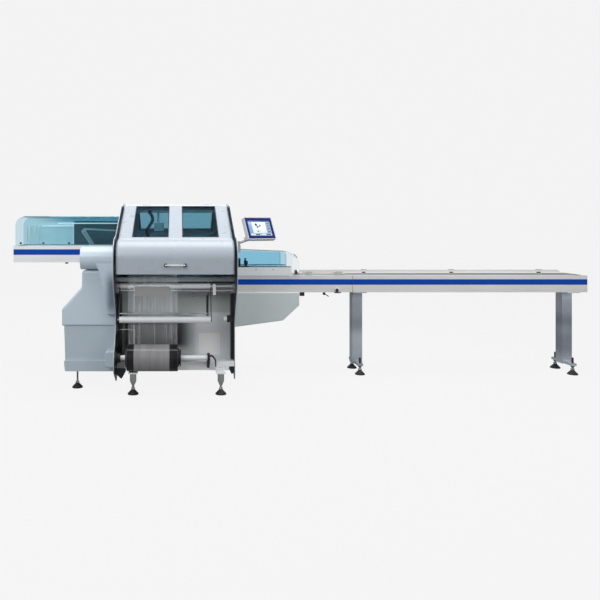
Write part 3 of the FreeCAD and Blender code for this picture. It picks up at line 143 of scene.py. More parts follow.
def spread(tree, factor, low, high, start=0.3, end=0.7):
    """Maps a value between start and end, where most noise lies, onto a range."""
    node = tree.nodes.new("ShaderNodeMapRange")
    node.inputs["From Min"].default_value = start
    node.inputs["From Max"].default_value = end
    node.inputs["To Min"].default_value = low
    node.inputs["To Max"].default_value = high
    tree.links.new(factor, node.inputs["Value"])
    return node.outputs["Result"]


def feed(tree, socket, value):
    """Links a value into a socket of the material's Principled shader."""
    tree.links.new(value, tree.nodes["Principled BSDF"].inputs[socket])


world = bpy.data.worlds.new("studio")
world.use_nodes = True
sky = world.node_tree
falling = sky.nodes["Background"]
falling.inputs["Color"].default_value = (*light_colour, 1)
falling.inputs["Strength"].default_value = light_strength
seen = sky.nodes.new("ShaderNodeBackground")
seen.inputs["Color"].default_value = (*backdrop_tone, 1)
either = sky.nodes.new("ShaderNodeMixShader")
sky.links.new(camera_or_glass(sky), either.inputs[0])
sky.links.new(falling.outputs[0], either.inputs[1])
sky.links.new(seen.outputs[0], either.inputs[2])
sky.links.new(either.outputs[0], sky.nodes["World Output"].inputs["Surface"])
bpy.context.scene.world = world

floor_finish = bpy.data.materials.new("floor")
floor_finish.use_nodes = True
floor_tree = floor_finish.node_tree
floor_shader = floor_tree.nodes["Principled BSDF"]
floor_shader.inputs["Base Color"].default_value = (0.03, 0.03, 0.03, 1)
floor_shader.inputs["Roughness"].default_value = 0.9
floor_shader.inputs["Specular IOR Level"].default_value = 0.0
floor_shader.inputs["Emission Color"].default_value = (*backdrop_tone, 1)
feed(floor_tree, "Emission Strength", spread(floor_tree, camera_or_glass(floor_tree), *floor_glow, 0, 1))
floor.data.materials.append(floor_finish)
print("backdrop tone", backdrop_tone[0], "floor glow", floor_glow)

# %% [markdown]
# Every finish starts as one Principled shader. Two kinds of variation are laid over it: a faint cloudy
# change of colour, as paint and plastic have from one area to the next, and a fine bump. Both are made from
# noise on Object coordinates, so the pattern is tied to the metal and has a real scale in metres.

# %% Shader, noise and relief
def shader(name, colour, roughness, metallic=0.0, more={}):
    """A new material with a Principled shader, and more of its sockets set by name; returns its tree too."""
    material = bpy.data.materials.new(name)
    material.use_nodes = True
    sockets = material.node_tree.nodes["Principled BSDF"].inputs
    values = {"Base Color": (*colour, 1), "Roughness": roughness, "Metallic": metallic}
    for socket, value in {**values, **more}.items():
        sockets[socket].default_value = value
    material.diffuse_color = (*colour, 1)
    return material, material.node_tree


def object_noise(tree, scale, stretch=(1, 1, 1), detail=3.0):
    """Noise on Object coordinates, stretched along an axis where its scale is smaller."""
    place = tree.nodes.new("ShaderNodeTexCoord")
    mapping = tree.nodes.new("ShaderNodeMapping")
    mapping.inputs["Scale"].default_value = stretch
    noise = tree.nodes.new("ShaderNodeTexNoise")
    noise.inputs["Scale"].default_value = scale
    noise.inputs["Detail"].default_value = detail
    tree.links.new(place.outputs["Object"], mapping.inputs["Vector"])
    tree.links.new(mapping.outputs["Vector"], noise.inputs["Vector"])
    return noise.outputs["Fac"]


def tint(tree, factor, colour_a, colour_b):
    """A colour between two, by a value from 0 to 1."""
    node = tree.nodes.new("ShaderNodeMix")
    node.data_type = "RGBA"
    node.inputs[6].default_value = (*colour_a, 1)
    node.inputs[7].default_value = (*colour_b, 1)
    tree.links.new(factor, node.inputs[0])
    return node.outputs[2]


def bump(tree, height, strength, distance):
    """Relief from a noise, with its depth in metres."""
    node = tree.nodes.new("ShaderNodeBump")
    node.inputs["Strength"].default_value = strength
    node.inputs["Distance"].default_value = distance
    tree.links.new(height, node.inputs["Height"])
    feed(tree, "Normal", node.outputs["Normal"])


print("shaders read noise on Object coordinates, in metres")


# %% Enamel, metal, plastic and clear sheet
def enamel(name, colour, variation=0.03, roughness=0.32, peel=0.12, coat=0.25, gloss=0.5):
    """Sprayed enamel on sheet metal: cloudy colour, uneven gloss and a fine orange peel."""
    material, tree = shader(name, colour, roughness, more={
        "Coat Weight": coat, "Coat Roughness": 0.12, "Specular IOR Level": gloss})
    darker = tuple(c * (1 - variation) for c in colour)
    lighter = tuple(min(1, c * (1 + variation)) for c in colour)
    cloud = object_noise(tree, 2.2)
    feed(tree, "Base Color", tint(tree, cloud, darker, lighter))
    feed(tree, "Roughness", spread(tree, object_noise(tree, 9), roughness - 0.05, roughness + 0.07))
    bump(tree, object_noise(tree, 420, detail=1.0), peel, 0.0003)
    return material


def brushed(name, colour, along, roughness=0.3, depth=0.25, metallic=1.0):
    """Brushed or drawn metal: noise stretched along the direction of the scratches."""
    material, tree = shader(name, colour, roughness, metallic)
    stretch = tuple(0.02 if axis == along else 1 for axis in "xyz")
    scratches = object_noise(tree, 650, stretch, detail=4.0)
    cloud = object_noise(tree, 5)
    darker = tuple(c * 0.88 for c in colour)
    feed(tree, "Base Color", tint(tree, cloud, darker, colour))
    feed(tree, "Roughness", spread(tree, scratches, roughness - 0.08, roughness + 0.14))
    bump(tree, scratches, depth, 0.0002)
    return material


def plastic(name, colour, roughness=0.45, grain=0.2, scale=900):
    """Moulded plastic or rubber with a fine grain."""
    material, tree = shader(name, colour, roughness)
    lighter = tuple(min(1, c * 1.15 + 0.01) for c in colour)
    feed(tree, "Base Color", tint(tree, object_noise(tree, 14), colour, lighter))
    bump(tree, object_noise(tree, scale, detail=2.0), grain, 0.0002)
    return material


def clear_sheet(name, colour, edge_colour, roughness=0.03):
    """Clear tinted sheet, deeper in colour where it turns away, a little dull here and there."""
    material, tree = shader(name, colour, roughness, more={"Transmission Weight": 1.0, "IOR": 1.1})
    turning = tree.nodes.new("ShaderNodeLayerWeight")
    turning.inputs["Blend"].default_value = 0.35
    feed(tree, "Base Color", tint(tree, turning.outputs["Facing"], colour, edge_colour))
    feed(tree, "Roughness", spread(tree, object_noise(tree, 6), roughness, roughness + 0.06))
    return material


print("four kinds of finish ready")

# %% [markdown]
# Some finishes change at a certain place: the side walls are pale at their outer edge and dark inside, the
# film has clear margins beside its frosted middle. For those the Object coordinate is split into X, Y and
# Z, and a Map Range turns one of them into a mask from 0 to 1. As the pattern is in metres in the machine's
# own frame, the mask can use the very sizes of the frame.

# %% Masks by place
def place_mask(tree, axis, start, end):
    """0 before start and 1 after end along one axis of the machine, in metres."""
    place = tree.nodes.new("ShaderNodeTexCoord")
    split = tree.nodes.new("ShaderNodeSeparateXYZ")
    ramp = tree.nodes.new("ShaderNodeMapRange")
    ramp.interpolation_type = "SMOOTHSTEP"
    ramp.inputs["From Min"].default_value = start
    ramp.inputs["From Max"].default_value = end
    tree.links.new(place.outputs["Object"], split.inputs["Vector"])
    tree.links.new(split.outputs["XYZ".index(axis)], ramp.inputs["Value"])
    return ramp.outputs["Result"]


def times(tree, first, second):
    """Both masks together."""
    node = tree.nodes.new("ShaderNodeMath")
    node.operation = "MULTIPLY"
    tree.links.new(first, node.inputs[0])
    tree.links.new(second, node.inputs[1])
    return node.outputs[0]


def layer(tree, mask, colour):
    """Lays another colour over what the shader has, where the mask is 1."""
    socket = tree.nodes["Principled BSDF"].inputs["Base Color"]
    node = tree.nodes.new("ShaderNodeMix")
    node.data_type = "RGBA"
    node.inputs[7].default_value = (*colour, 1)
    if socket.links:
        tree.links.new(socket.links[0].from_socket, node.inputs[6])
    else:
        node.inputs[6].default_value = socket.default_value
    tree.links.new(mask, node.inputs[0])
    tree.links.new(node.outputs[2], socket)


def region(tree, *edges):
    """1 past all of several soft edges, each an axis and the pair of places where it starts and ends."""
    mask = place_mask(tree, edges[0][0], *edges[0][1])
    for axis, places in edges[1:]:
        mask = times(tree, mask, place_mask(tree, axis, *places))
    return mask


def window(tree, axis, start, end, soft=0.002):
    """1 between two places and 0 outside them."""
    return region(tree, (axis, (start, start + soft)), (axis, (end, end - soft)))


# %% [markdown]
# The side walls are one cut plate each. Their outer face and the first millimetres of the edge are
# enamelled in the pale colour. The inner face, which carries rollers and channels, is nearly black. In the
# photograph that shows as a thin light rim round a dark line beside the hood.

# %% Side wall finishes
wall_rim_width = 0.0045
wall_crest = 1.530
edge_flange = 0.010


def wall_finish(name, outer_x, inner_x):
    """Pale outside and dark inside, with a pale crest on top."""
    material = enamel(name, (0.60, 0.66, 0.71))
    tree = material.node_tree
    toward = 1 if inner_x > outer_x else -1
    edge = outer_x + toward * wall_rim_width
    inner_face = place_mask(tree, "X", edge, edge + toward * 0.0005)
    below_crest = place_mask(tree, "Z", wall_crest, wall_crest - 0.004)
    layer(tree, times(tree, inner_face, below_crest), (0.035, 0.037, 0.04))
    return material


left_wall_low, left_wall_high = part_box("left_side_wall")
right_wall_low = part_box("right_side_wall")[0]
left_wall_paint = wall_finish("left_wall_paint", left_wall_low[0], left_wall_high[0])
right_wall_paint = wall_finish("right_wall_paint", right_wall_low[0] + edge_flange, right_wall_low[0])
print("walls turn dark", wall_rim_width * 1000, "mm behind their outer face")

# %% [markdown]
# Stretch film is clear, but a tight web of it shows fine streaks along its run, and light grazes along
# them. The streaks are noise that is stretched along Z and squeezed along X. A frosted plain patch lies in
# the middle of the web. On the roll many layers add up: the middle is milky, the margins are darker and
# clear.

# %% Film finishes
roll_low, roll_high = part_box("film_roll")
clear_margins = 0.053, 0.063
band_left = roll_low[0] + clear_margins[0]
band_right = roll_high[0] - clear_margins[1]
patch_low, patch_high = 0.782, 0.857


def film_finish():
    """The web: clear, with streaks, fine hairlines and the frosted patch."""
    material, tree = shader("film", (0.80, 0.83, 0.84), 0.18, more={"IOR": 1.08})
    streaks = object_noise(tree, 38, (1, 0.015, 0.015), detail=3.0)
    streak = spread(tree, streaks, 0, 1)
    feed(tree, "Base Color", tint(tree, streak, (0.74, 0.77, 0.78), (0.90, 0.91, 0.92)))
    hairlines = spread(tree, object_noise(tree, 150, (1, 0.008, 0.008), detail=1.0), 0, 1, 0.60, 0.70)
    patch = times(tree, window(tree, "X", band_left, band_right), window(tree, "Z", patch_low, patch_high))
    frosted = tree.nodes.new("ShaderNodeMath")
    frosted.operation = "MULTIPLY_ADD"
    frosted.use_clamp = True
    frosted.inputs[1].default_value = 0.45
    tree.links.new(hairlines, frosted.inputs[0])
    tree.links.new(patch, frosted.inputs[2])
    feed(tree, "Transmission Weight", spread(tree, frosted.outputs[0], 0.90, 0.10, 0, 1))
    layer(tree, patch, (0.44, 0.435, 0.43))
    feed(tree, "Roughness", spread(tree, streaks, 0.06, 0.22))
    bump(tree, streaks, 0.05, 0.0006)
    return material


def roll_finish():
    """The wound film: milky between two dark margins, with its layers as rings."""
    material, tree = shader("film_roll", (0.20, 0.20, 0.20), 0.16, more={
        "Coat Weight": 0.22, "Coat Roughness": 0.08, "Specular IOR Level": 0.25})
    rings = object_noise(tree, 26, (1, 0.15, 0.15), detail=6.0)
    ring = spread(tree, rings, 0, 1)
    feed(tree, "Base Color", tint(tree, ring, (0.006, 0.006, 0.008), (0.022, 0.022, 0.024)))
    middle = window(tree, "X", band_left, band_right, 0.004)
    layer(tree, times(tree, middle, spread(tree, rings, 0.75, 1.0)), (0.31, 0.305, 0.31))
    bump(tree, rings, 0.25, 0.0008)
    return material


print("milky band", round((band_right - band_left) * 1000), "mm wide")

# %% [markdown]
# A few more finishes change along the machine. The panels behind the film are grey sheet with painted light
# on their pale lower right, a painted shadow behind the lower run of the film and painted shade under the
# guide. The fairing on the left is hollowed towards the side wall, and painted shade deepens its enamel
# there.
# The infeed guard is tinted sheet with a clear bent end, and the outfeed guard has painted shade along
# its upper bend. Each is a base finish with one or more layers over it.

# %% Bay panel and fairing finishes
painted_light_side, painted_light_top = (-0.99, -0.93), (0.63, 0.60)
painted_shadow_left = roll_low[0] - 0.06, roll_low[0] - 0.02
painted_shadow_right = roll_high[0] + 0.16, roll_high[0] + 0.01
painted_shadow_top, painted_shadow_bottom = (0.60, 0.56), (0.28, 0.36)
shade_bottom, shade_top, behind_film = (0.856, 0.872), (0.913, 0.910), (-0.44, -0.42)
hollow_shade_side = left_wall_low[0] - 0.105, left_wall_low[0] - 0.030
hollow_shade_top, hollow_shade_bottom = (1.02, 0.86), (0.55, 0.72)


def bay_panel_finish():
    """Grey sheet: painted light low at the right, a painted shadow behind the film's lower run, painted shade
    under the guide.
    """
    material = enamel("bay_panel", (0.50, 0.53, 0.53), variation=0.05, roughness=0.38)
    tree = material.node_tree
    # Painted light: a paler colour on the lower right of the sheet, where light falls.
    layer(tree, region(tree, ("X", painted_light_side), ("Z", painted_light_top)), (0.70, 0.73, 0.74))
    # Painted shadow: the sheet is nearly black behind the film's lower run, where the roll and web cast
    # shade.
    painted_shadow_behind_roll = region(tree, ("X", painted_shadow_left), ("X", painted_shadow_right), ("Z", painted_shadow_top), ("Z", painted_shadow_bottom))
    layer(tree, painted_shadow_behind_roll, (0.035, 0.036, 0.040))
    # Painted shade: nearly black under the guide, in the recess behind the film.
    painted_shade_under_guide = region(tree, ("Z", shade_bottom), ("Z", shade_top), ("Y", behind_film))
    layer(tree, painted_shade_under_guide, (0.03, 0.032, 0.034))
    return material


def fairing_finish():
    """Housing enamel, with painted shade in the hollow beside the wall."""
    material = enamel("fairing_paint", (0.60, 0.70, 0.78), variation=0.02)
    tree = material.node_tree
    # Painted shade: a darker enamel colour in the hollow beside the wall, where shade falls.
    hollow_painted_shade = region(tree, ("X", hollow_shade_side), ("Z", hollow_shade_top), ("Z", hollow_shade_bottom))
    layer(tree, hollow_painted_shade, (0.16, 0.21, 0.26))
    return material


# The dark ground is the painted shadow behind the film's lower run.
print("dark ground from x", round(painted_shadow_left[1], 3), "to", round(painted_shadow_right[1], 3))


# %% Bearing and guard finishes
guard_end_length = 0.118
reel_bearing_top, bend_shade_start, bend_shade_height = (0.50, 0.49), (-2.50, -2.00), (0.075, 0.030)


def bearing_finish():
    """Grey castings for the upper bearings, and black for the low one of the reel."""
    material = brushed("cast_grey", (0.40, 0.41, 0.43), "z", roughness=0.45, metallic=0.6)
    tree = material.node_tree
    layer(tree, place_mask(tree, "Z", *reel_bearing_top), (0.030, 0.031, 0.033))
    return material


def outfeed_cover_finish():
    """Clear sheet with painted shade along its bent upper edge."""
    material = clear_sheet("outfeed_cover_tint", (0.62, 0.80, 0.86), (0.16, 0.36, 0.44))
    tree = material.node_tree
    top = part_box("outfeed_cover")[1][2]
    shade_below_top = tuple(top - height for height in bend_shade_height)
    # Painted shade: a deeper tint along the upper bend of the guard.
    layer(tree, region(tree, ("Z", shade_below_top), ("X", bend_shade_start)), (0.26, 0.50, 0.60))
    return material


def infeed_cover_finish():
    """Tinted sheet whose end piece is clear."""
    material = clear_sheet("infeed_cover_tint", (0.50, 0.75, 0.86), (0.16, 0.36, 0.44))
    tree = material.node_tree
    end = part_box("infeed_cover")[1][0]
    seam = end - guard_end_length
    layer(tree, place_mask(tree, "X", seam - 0.002, seam + 0.002), (0.90, 0.94, 0.96))
    return material


print("clear end of the infeed guard", round(guard_end_length * 1000), "mm long")

# %% [markdown]
# Each CAD part keeps its mesh and gets a finish by the slot that its record names, so there is one finish
# for each slot. The housing is a pale blue enamel, the frames are dull aluminium, and the guards are clear
# sheet.

# %% One finish for each slot
finishes = {
    "housing_paint": enamel("housing_paint", (0.60, 0.70, 0.78), variation=0.02),
    "hood_paint": enamel("hood_paint", (0.47, 0.52, 0.58), variation=0.012, roughness=0.30, peel=0.06),
    "sill_grey": enamel("sill_grey", (0.82, 0.85, 0.85), roughness=0.42),
    "bay_grey": enamel("bay_grey", (0.58, 0.60, 0.60), variation=0.05, roughness=0.38),
    "bay_dark": enamel("bay_dark", (0.014, 0.015, 0.017), roughness=0.35),
    "rail_aluminium": brushed("rail_aluminium", (0.86, 0.84, 0.83), "x", roughness=0.42, metallic=0.4),
    "stripe_blue": enamel("stripe_blue", (0.0, 0.064, 0.42), roughness=0.5, coat=0.0, gloss=0.15),
    "steel": brushed("steel", (0.72, 0.73, 0.74), "x", roughness=0.24),
    "black_plastic": plastic("black_plastic", (0.012, 0.012, 0.013)),
    "pad_rubber": plastic("pad_rubber", (0.010, 0.010, 0.011), roughness=0.6, grain=0.4),
    "belt": plastic("belt", (0.20, 0.205, 0.21), roughness=0.5, grain=0.5, scale=600),
    "film": film_finish(),
    "window_tint": clear_sheet("window_tint", (0.41, 0.64, 0.73), (0.22, 0.42, 0.50)),
    "cover_tint": clear_sheet("cover_tint", (0.58, 0.79, 0.86), (0.16, 0.36, 0.44)),
    "liner": plastic("liner", (0.66, 0.74, 0.75), roughness=0.3, grain=0.05),
    "panel_shell": enamel("panel_shell", (0.58, 0.60, 0.61), roughness=0.30),
    "screen": plastic("screen", (0.004, 0.008, 0.12), roughness=0.12, grain=0.02),
}
print(len(finishes), "finishes for the record's slots")

# %% [markdown]
# Some parts share a slot but look different on the real machine, such as the two side walls or the roll and
# its web, so those get a finish of their own by name. The legs get broad clouds of painted reflection, light
# and shade, from a slow noise along Z, and the two clamps at the front of the infeed are grey where the
# others are black.

# %% Finishes for single parts
leg_steel = brushed("leg_steel", (0.48, 0.52, 0.57), "z", roughness=0.34, metallic=0.5)
leg_tree = leg_steel.node_tree
# Painted reflections: a slow noise along Z paints broad bands of light and shade into the legs' colour.
leg_painted_reflections = spread(leg_tree, object_noise(leg_tree, 3.4, (0.15, 0.15, 1), detail=1.0), 0, 1)
feed(leg_tree, "Base Color", tint(leg_tree, leg_painted_reflections, (0.26, 0.29, 0.33), (0.74, 0.79, 0.87)))
grip_black = plastic("grip_black", (0.012, 0.012, 0.013))
grip_tree = grip_black.node_tree
front_clamps = times(grip_tree, place_mask(grip_tree, "X", 0.50, 0.49), window(grip_tree, "Z", 0.88, 0.97))
layer(grip_tree, front_clamps, (0.52, 0.52, 0.53))
bright_tube = brushed("bright_tube", (0.94, 0.95, 0.96), "x", roughness=0.36, metallic=0.12)
white_plastic = plastic("white_plastic", (0.82, 0.83, 0.83), roughness=0.35, grain=0.05)
own_finishes = {
    "left_side_wall": left_wall_paint,
    "right_side_wall": right_wall_paint,
    "film_roll": roll_finish(),
    "conveyor_legs": leg_steel,
    "gripper_beam": enamel("beam_grey", (0.50, 0.55, 0.57), roughness=0.35),
    "folding_deck": enamel("deck_grey", (0.13, 0.15, 0.16), roughness=0.35),
    "dancer_roller": bright_tube,
    "upper_roller": bright_tube,
    "bay_panels": bay_panel_finish(),
    "infeed_cover": infeed_cover_finish(),
    "elbow_fairing": fairing_finish(),
    "base_tray": enamel("sill_white", (0.92, 0.94, 0.94), roughness=0.42),
    "outfeed_frame": brushed("arm_aluminium", (0.95, 0.94, 0.96), "x", roughness=0.42, metallic=0.1),
    "heater_housing": enamel("heater_dark", (0.044, 0.082, 0.092), roughness=0.4),
    "bay_bearings": bearing_finish(),
    "black_grips": grip_black,
    "foot_spindles": brushed("spindle_steel", (0.16, 0.165, 0.17), "z", roughness=0.35, metallic=0.8),
    "reel_shaft": bright_tube,
    "press_frame": brushed("press_steel", (0.30, 0.36, 0.37), "z", roughness=0.4, metallic=0.5),
    "outfeed_cover": outfeed_cover_finish(),
    "brake_knob": white_plastic,
    "lower_left_cover": enamel("lower_cover_paint", (0.50, 0.58, 0.64), variation=0.02),
    "infeed_drive_housing": enamel("drive_grey", (0.64, 0.69, 0.69), roughness=0.42),
}
print(len(own_finishes), "parts with a finish of their own")


# %% Put the finishes on the CAD parts
for entry in frame["record"]["subparts"]:
    name = entry["node"]
    mesh = nodes[name].data
    mesh.materials.clear()
    mesh.materials.append(own_finishes.get(name, finishes[entry["material_slot"]]))
print("finishes on", len(nodes), "nodes")

# %% [markdown]
# Everything added from here on rides on one of the machine's bodies and names the slot of its finish. A new
# object is shaped at its place, and at the end its place is applied, so that the object stands at the
# origin with its place in its mesh, as the CAD parts do.

# %% Finish a new piece
def complete(piece, name, body, slot, finish=None, smooth=35):
    """Applies the place, shades the mesh and hangs the piece on its body, in its slot's finish or its own."""
    activate(piece)
    bpy.ops.object.transform_apply(location=True, rotation=True, scale=True)
    bpy.ops.object.shade_smooth_by_angle(angle=math.radians(smooth))
    piece.name = name
    piece.data.materials.clear()
    piece.data.materials.append(finish or finishes[slot])
    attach(piece, body)
    bpy.ops.object.select_all(action="DESELECT")
    return piece


def round_edges(piece, width, segments=2):
    """A bevel on every sharp edge, applied."""
    activate(piece)
    modifier = piece.modifiers.new("edges", "BEVEL")
    modifier.width = width
    modifier.segments = segments
    modifier.limit_method = "ANGLE"
    modifier.angle_limit = math.radians(30)
    bpy.ops.object.modifier_apply(modifier=modifier.name)


def block(low, high, width=0.001):
    """A block between two corners with its edges rounded."""
    centre = [(a + b) / 2 for a, b in zip(low, high)]
    piece = start(bpy.ops.mesh.primitive_cube_add, size=1, location=centre)
    piece.scale = [b - a for a, b in zip(low, high)]
    bpy.ops.object.transform_apply(location=False, rotation=False, scale=True)
    round_edges(piece, width)
    return piece


def merge(pieces):
    """Joins several objects into the first, and leaves a single one as it is."""
    bpy.ops.object.select_all(action="DESELECT")
    for piece in pieces:
        piece.select_set(True)
    bpy.context.view_layer.objects.active = pieces[0]
    if len(pieces) > 1:
        bpy.ops.object.join()
    return pieces[0]


def blocks(name, slot, *boxes, finish=None, body="machine"):
    """One fitting made of rounded blocks, each given by its lowest corner, highest corner and edge radius."""
    return complete(merge([block(*box) for box in boxes]), name, body, slot, finish)


# %% [markdown]
# A sheet-metal machine is held together by button-head screws. One screw is enough to model: a short
# cylinder whose top face is inset and raised a little for the rounded head, inset again, and pushed down
# for the socket. The socket is left round, which at this size can't be told from a hexagon. The screw is
# then copied to its places, turned so that its axis follows the surface it sits on.

# %% One screw and its copies
head_height = 0.7


def screw_model(radius):
    """One screw head that stands on the origin."""
    height = radius * head_height
    screw = start(bpy.ops.mesh.primitive_cylinder_add, vertices=24, radius=radius, depth=height,
                  location=(0, 0, height / 2))
    bpy.ops.object.transform_apply(location=True)
    bpy.ops.object.mode_set(mode="EDIT")
    select_faces(screw, lambda centre, normal: normal.z > 0.9)
    bpy.ops.mesh.inset(thickness=radius * 0.22, depth=radius * 0.12)
    bpy.ops.mesh.inset(thickness=radius * 0.22)
    bpy.ops.mesh.inset(thickness=radius * 0.04, depth=-radius * 0.4)
    bpy.ops.object.mode_set(mode="OBJECT")
    return screw


def copies_at(model, places):
    """Copies of a model, each with its own mesh, its Z axis along the given direction."""
    copies = []
    for point, direction in places:
        copy = model.copy()
        copy.data = model.data.copy()
        bpy.context.scene.collection.objects.link(copy)
        turn = Vector(direction).to_track_quat("Z", "Y").to_matrix().to_4x4()
        copy.matrix_world = Matrix.Translation(Vector(point)) @ turn
        copies.append(copy)
    bpy.data.objects.remove(model)
    return copies


def screws(name, body, places, radius=0.005, slot="steel"):
    """A group of screws as one piece, each at a point and along a direction."""
    return complete(merge(copies_at(screw_model(radius), places)), name, body, slot)


print("a screw head is", head_height, "radii high")


# %% [markdown]
# The hood's panes sit under the sheet, and a black rubber profile closes the edge of each opening. The
# profile follows the slope of the hood, so its place is read from the pane itself: its largest faces give
# the slope, and its corners give the size. A plane of that size is inset, its middle is taken out, and
# Solidify gives the ring its height.

# %% Read the place of a pane
pane_border = 0.010
profile_width, profile_height = 0.007, 0.0075


def panes(node):
    """Centre, normal, direction up the slope, half width and half length of both panes of a node."""
    mesh = nodes[node].data
    normal = max(mesh.polygons, key=lambda face: face.area).normal.copy()
    if normal.z < 0:
        normal.negate()
    along = Vector((1, 0, 0)).cross(normal)
    middle = sum(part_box(node)[i][0] for i in (0, 1)) / 2
    found = []
    for side in (-1, 1):
        corners = [v.co for v in mesh.vertices if (v.co.x - middle) * side > 0]
        top = max(c.dot(normal) for c in corners)
        xs = [c.x for c in corners]
        runs = [c.dot(along) for c in corners if c.dot(normal) > top - 0.0005]
        across = Vector(((min(xs) + max(xs)) / 2, 0, 0))
        centre = across + along * (min(runs) + max(runs)) / 2 + normal * top
        found.append((centre, normal, along, (max(xs) - min(xs)) / 2, (max(runs) - min(runs)) / 2))
    return found


print("hood panes at", [tuple(round(v, 3) for v in pane[0]) for pane in panes("hood_windows")])

# %% Rubber profiles round the windows
def window_gasket(centre, normal, along, half_width, half_length):
    """A ring of rubber on the edge of one opening."""
    ring = start(bpy.ops.mesh.primitive_plane_add, size=2)
    ring.scale = (half_width - pane_border, half_length - pane_border, 1)
    bpy.ops.object.transform_apply(scale=True)
    bpy.ops.object.mode_set(mode="EDIT")
    bpy.ops.mesh.inset(thickness=profile_width)
    bpy.ops.mesh.delete(type="FACE")
    bpy.ops.object.mode_set(mode="OBJECT")
    wall = ring.modifiers.new("height", "SOLIDIFY")
    wall.thickness = profile_height
    wall.offset = 1
    bpy.ops.object.modifier_apply(modifier=wall.name)
    round_edges(ring, 0.0015)
    axes = Matrix((Vector((1, 0, 0)), along, normal)).transposed().to_4x4()
    ring.matrix_world = Matrix.Translation(centre + normal * 0.0002) @ axes
    return ring


gasket_rubber = plastic("gasket_rubber", (0.018, 0.020, 0.021), roughness=0.5, grain=0.3)
for node, body in (("hood_windows", "hood"), ("rear_windows", "machine")):
    rings = [window_gasket(*pane) for pane in panes(node)]
    complete(merge(rings), node.replace("windows", "gaskets"), body, "pad_rubber", gasket_rubber)
print("rubber profiles", profile_width * 1000, "mm wide")

# %% [markdown]
# The operator panel leans back and is turned towards the operator. Its display is built from thin tiles,
# and it is easiest to lay them out flat, in millimetres from the middle of the glass, and to send each one
# to its place with the glass's own matrix. What they show is a plain made-up page: a bar on top, a sheet
# with a few dark shapes, a row of keys below and a column of keys at the right.

# %% Place of the panel's glass
glass = nodes["panel_screen"].data
glass_out = max(glass.polygons, key=lambda face: face.area).normal.copy()
if glass_out.y > 0:
    glass_out.negate()
glass_across = Vector((-glass_out.y, glass_out.x, 0)).normalized()
glass_up = glass_out.cross(glass_across)
glass_points = [v.co for v in glass.vertices]


def glass_span(direction):
    """Where the glass starts and ends along a direction."""
    reach = [p.dot(direction) for p in glass_points]
    return min(reach), max(reach)


glass_centre = sum(((sum(glass_span(d)) / 2) * d for d in (glass_across, glass_up)), Vector())
glass_centre += glass_out * glass_span(glass_out)[1]
glass_axes = Matrix((glass_across, glass_up, glass_out)).transposed().to_4x4()
glass_place = Matrix.Translation(glass_centre) @ glass_axes
print("glass", round(glass_span(glass_across)[1] - glass_span(glass_across)[0], 3), "m wide")


# %% Tiles of the display
def tiles(name, spans, low, high, finish):
    """Flat tiles from (left, right, bottom, top) in millimetres on the glass."""
    made = []
    for left, right, bottom, top in spans:
        corners = [Vector((left, bottom, low)) / 1000, Vector((right, top, high)) / 1000]
        tile = block(*corners, 0.0003)
        tile.matrix_world = glass_place @ tile.matrix_world
        made.append(tile)
    return complete(merge(made), name, "operator_panel", "screen", finish)


def glowing(name, colour, strength):
    """Colour that gives off a little light of its own, for the display and for painted highlights."""
    material, tree = shader(name, colour, 0.15, more={
        "Emission Color": (*colour, 1), "Emission Strength": strength})
    feed(tree, "Base Color", tint(tree, object_noise(tree, 40), tuple(c * 0.93 for c in colour), colour))
    return material


print("the glass leans back by", round(math.degrees(math.asin(glass_out.z))), "degrees")

# %% The display's page
page_left, page_right, page_bottom, page_top = -106, 106, -68, 66
bar_bottom, key_rows = 56, range(4)
tiles("display_page", [(page_left, page_right, page_bottom, page_top)], 0, 0.5,
      glowing("page_blue", (0.22, 0.36, 0.62), 0.25))
tiles("display_sheet", [(-72, 60, -44, 54)], 0.5, 0.9, glowing("sheet_white", (0.80, 0.86, 0.90), 0.25))
tiles("display_top_bar", [(page_left, page_right, bar_bottom, page_top)], 0.5, 1.0,
      glowing("bar_blue", (0.05, 0.12, 0.42), 0.2))
right_keys = [(64, 102, 38 - 24 * i, 50 - 24 * i) for i in key_rows]
bottom_keys = [(-102 + 52 * i, -56 + 52 * i, -64, -50) for i in key_rows]
tiles("display_keys", right_keys + bottom_keys, 0.5, 1.4, glowing("key_grey", (0.70, 0.74, 0.76), 0.2))
right_marks = [(67, 100, 40 - 24 * i, 48 - 24 * i) for i in key_rows]
bottom_marks = [(-52 + 52 * i, -14 + 52 * i, -62, -52) for i in (0, 2)]
tiles("display_marks", right_marks + bottom_marks, 1.2, 1.6, glowing("mark_dark", (0.03, 0.035, 0.02), 0.1))
tray_shapes = [(-44, -22, 22, 40), (-30, -20, 2, 24), (-22, -2, 8, 16), (-2, 12, 16, 30), (-36, -26, 38, 44)]
tiles("display_tray", tray_shapes, 0.9, 1.2, glowing("tray_ink", (0.03, 0.05, 0.10), 0.1))
tiles("display_run_key", [(-34, -14, -36, -20)], 0.9, 1.3, glowing("run_green", (0.05, 0.45, 0.16), 0.4))
print("display page", page_right - page_left, "by", page_top - page_bottom, "mm")

# %% [markdown]
# The hood carries a few small things: two pairs of screws on its slope, above the crease, and a black rose
# at each foot of the pull handle. The height of a point on the slope follows from the pane's plane, so the
# screws stand square on the sheet wherever they are. A rose is a short cylinder with a raised middle.

# %% Hood screws and handle roses
slope_point, slope_normal = panes("hood_windows")[0][:2]
sheet_over_pane = 0.0063


def on_slope(x, y):
    """The point of the hood's outer sheet over a place in plan."""
    surface = slope_point + slope_normal * sheet_over_pane
    z = surface.z - ((y - surface.y) * slope_normal.y) / slope_normal.z
    return Vector((x, y, z))


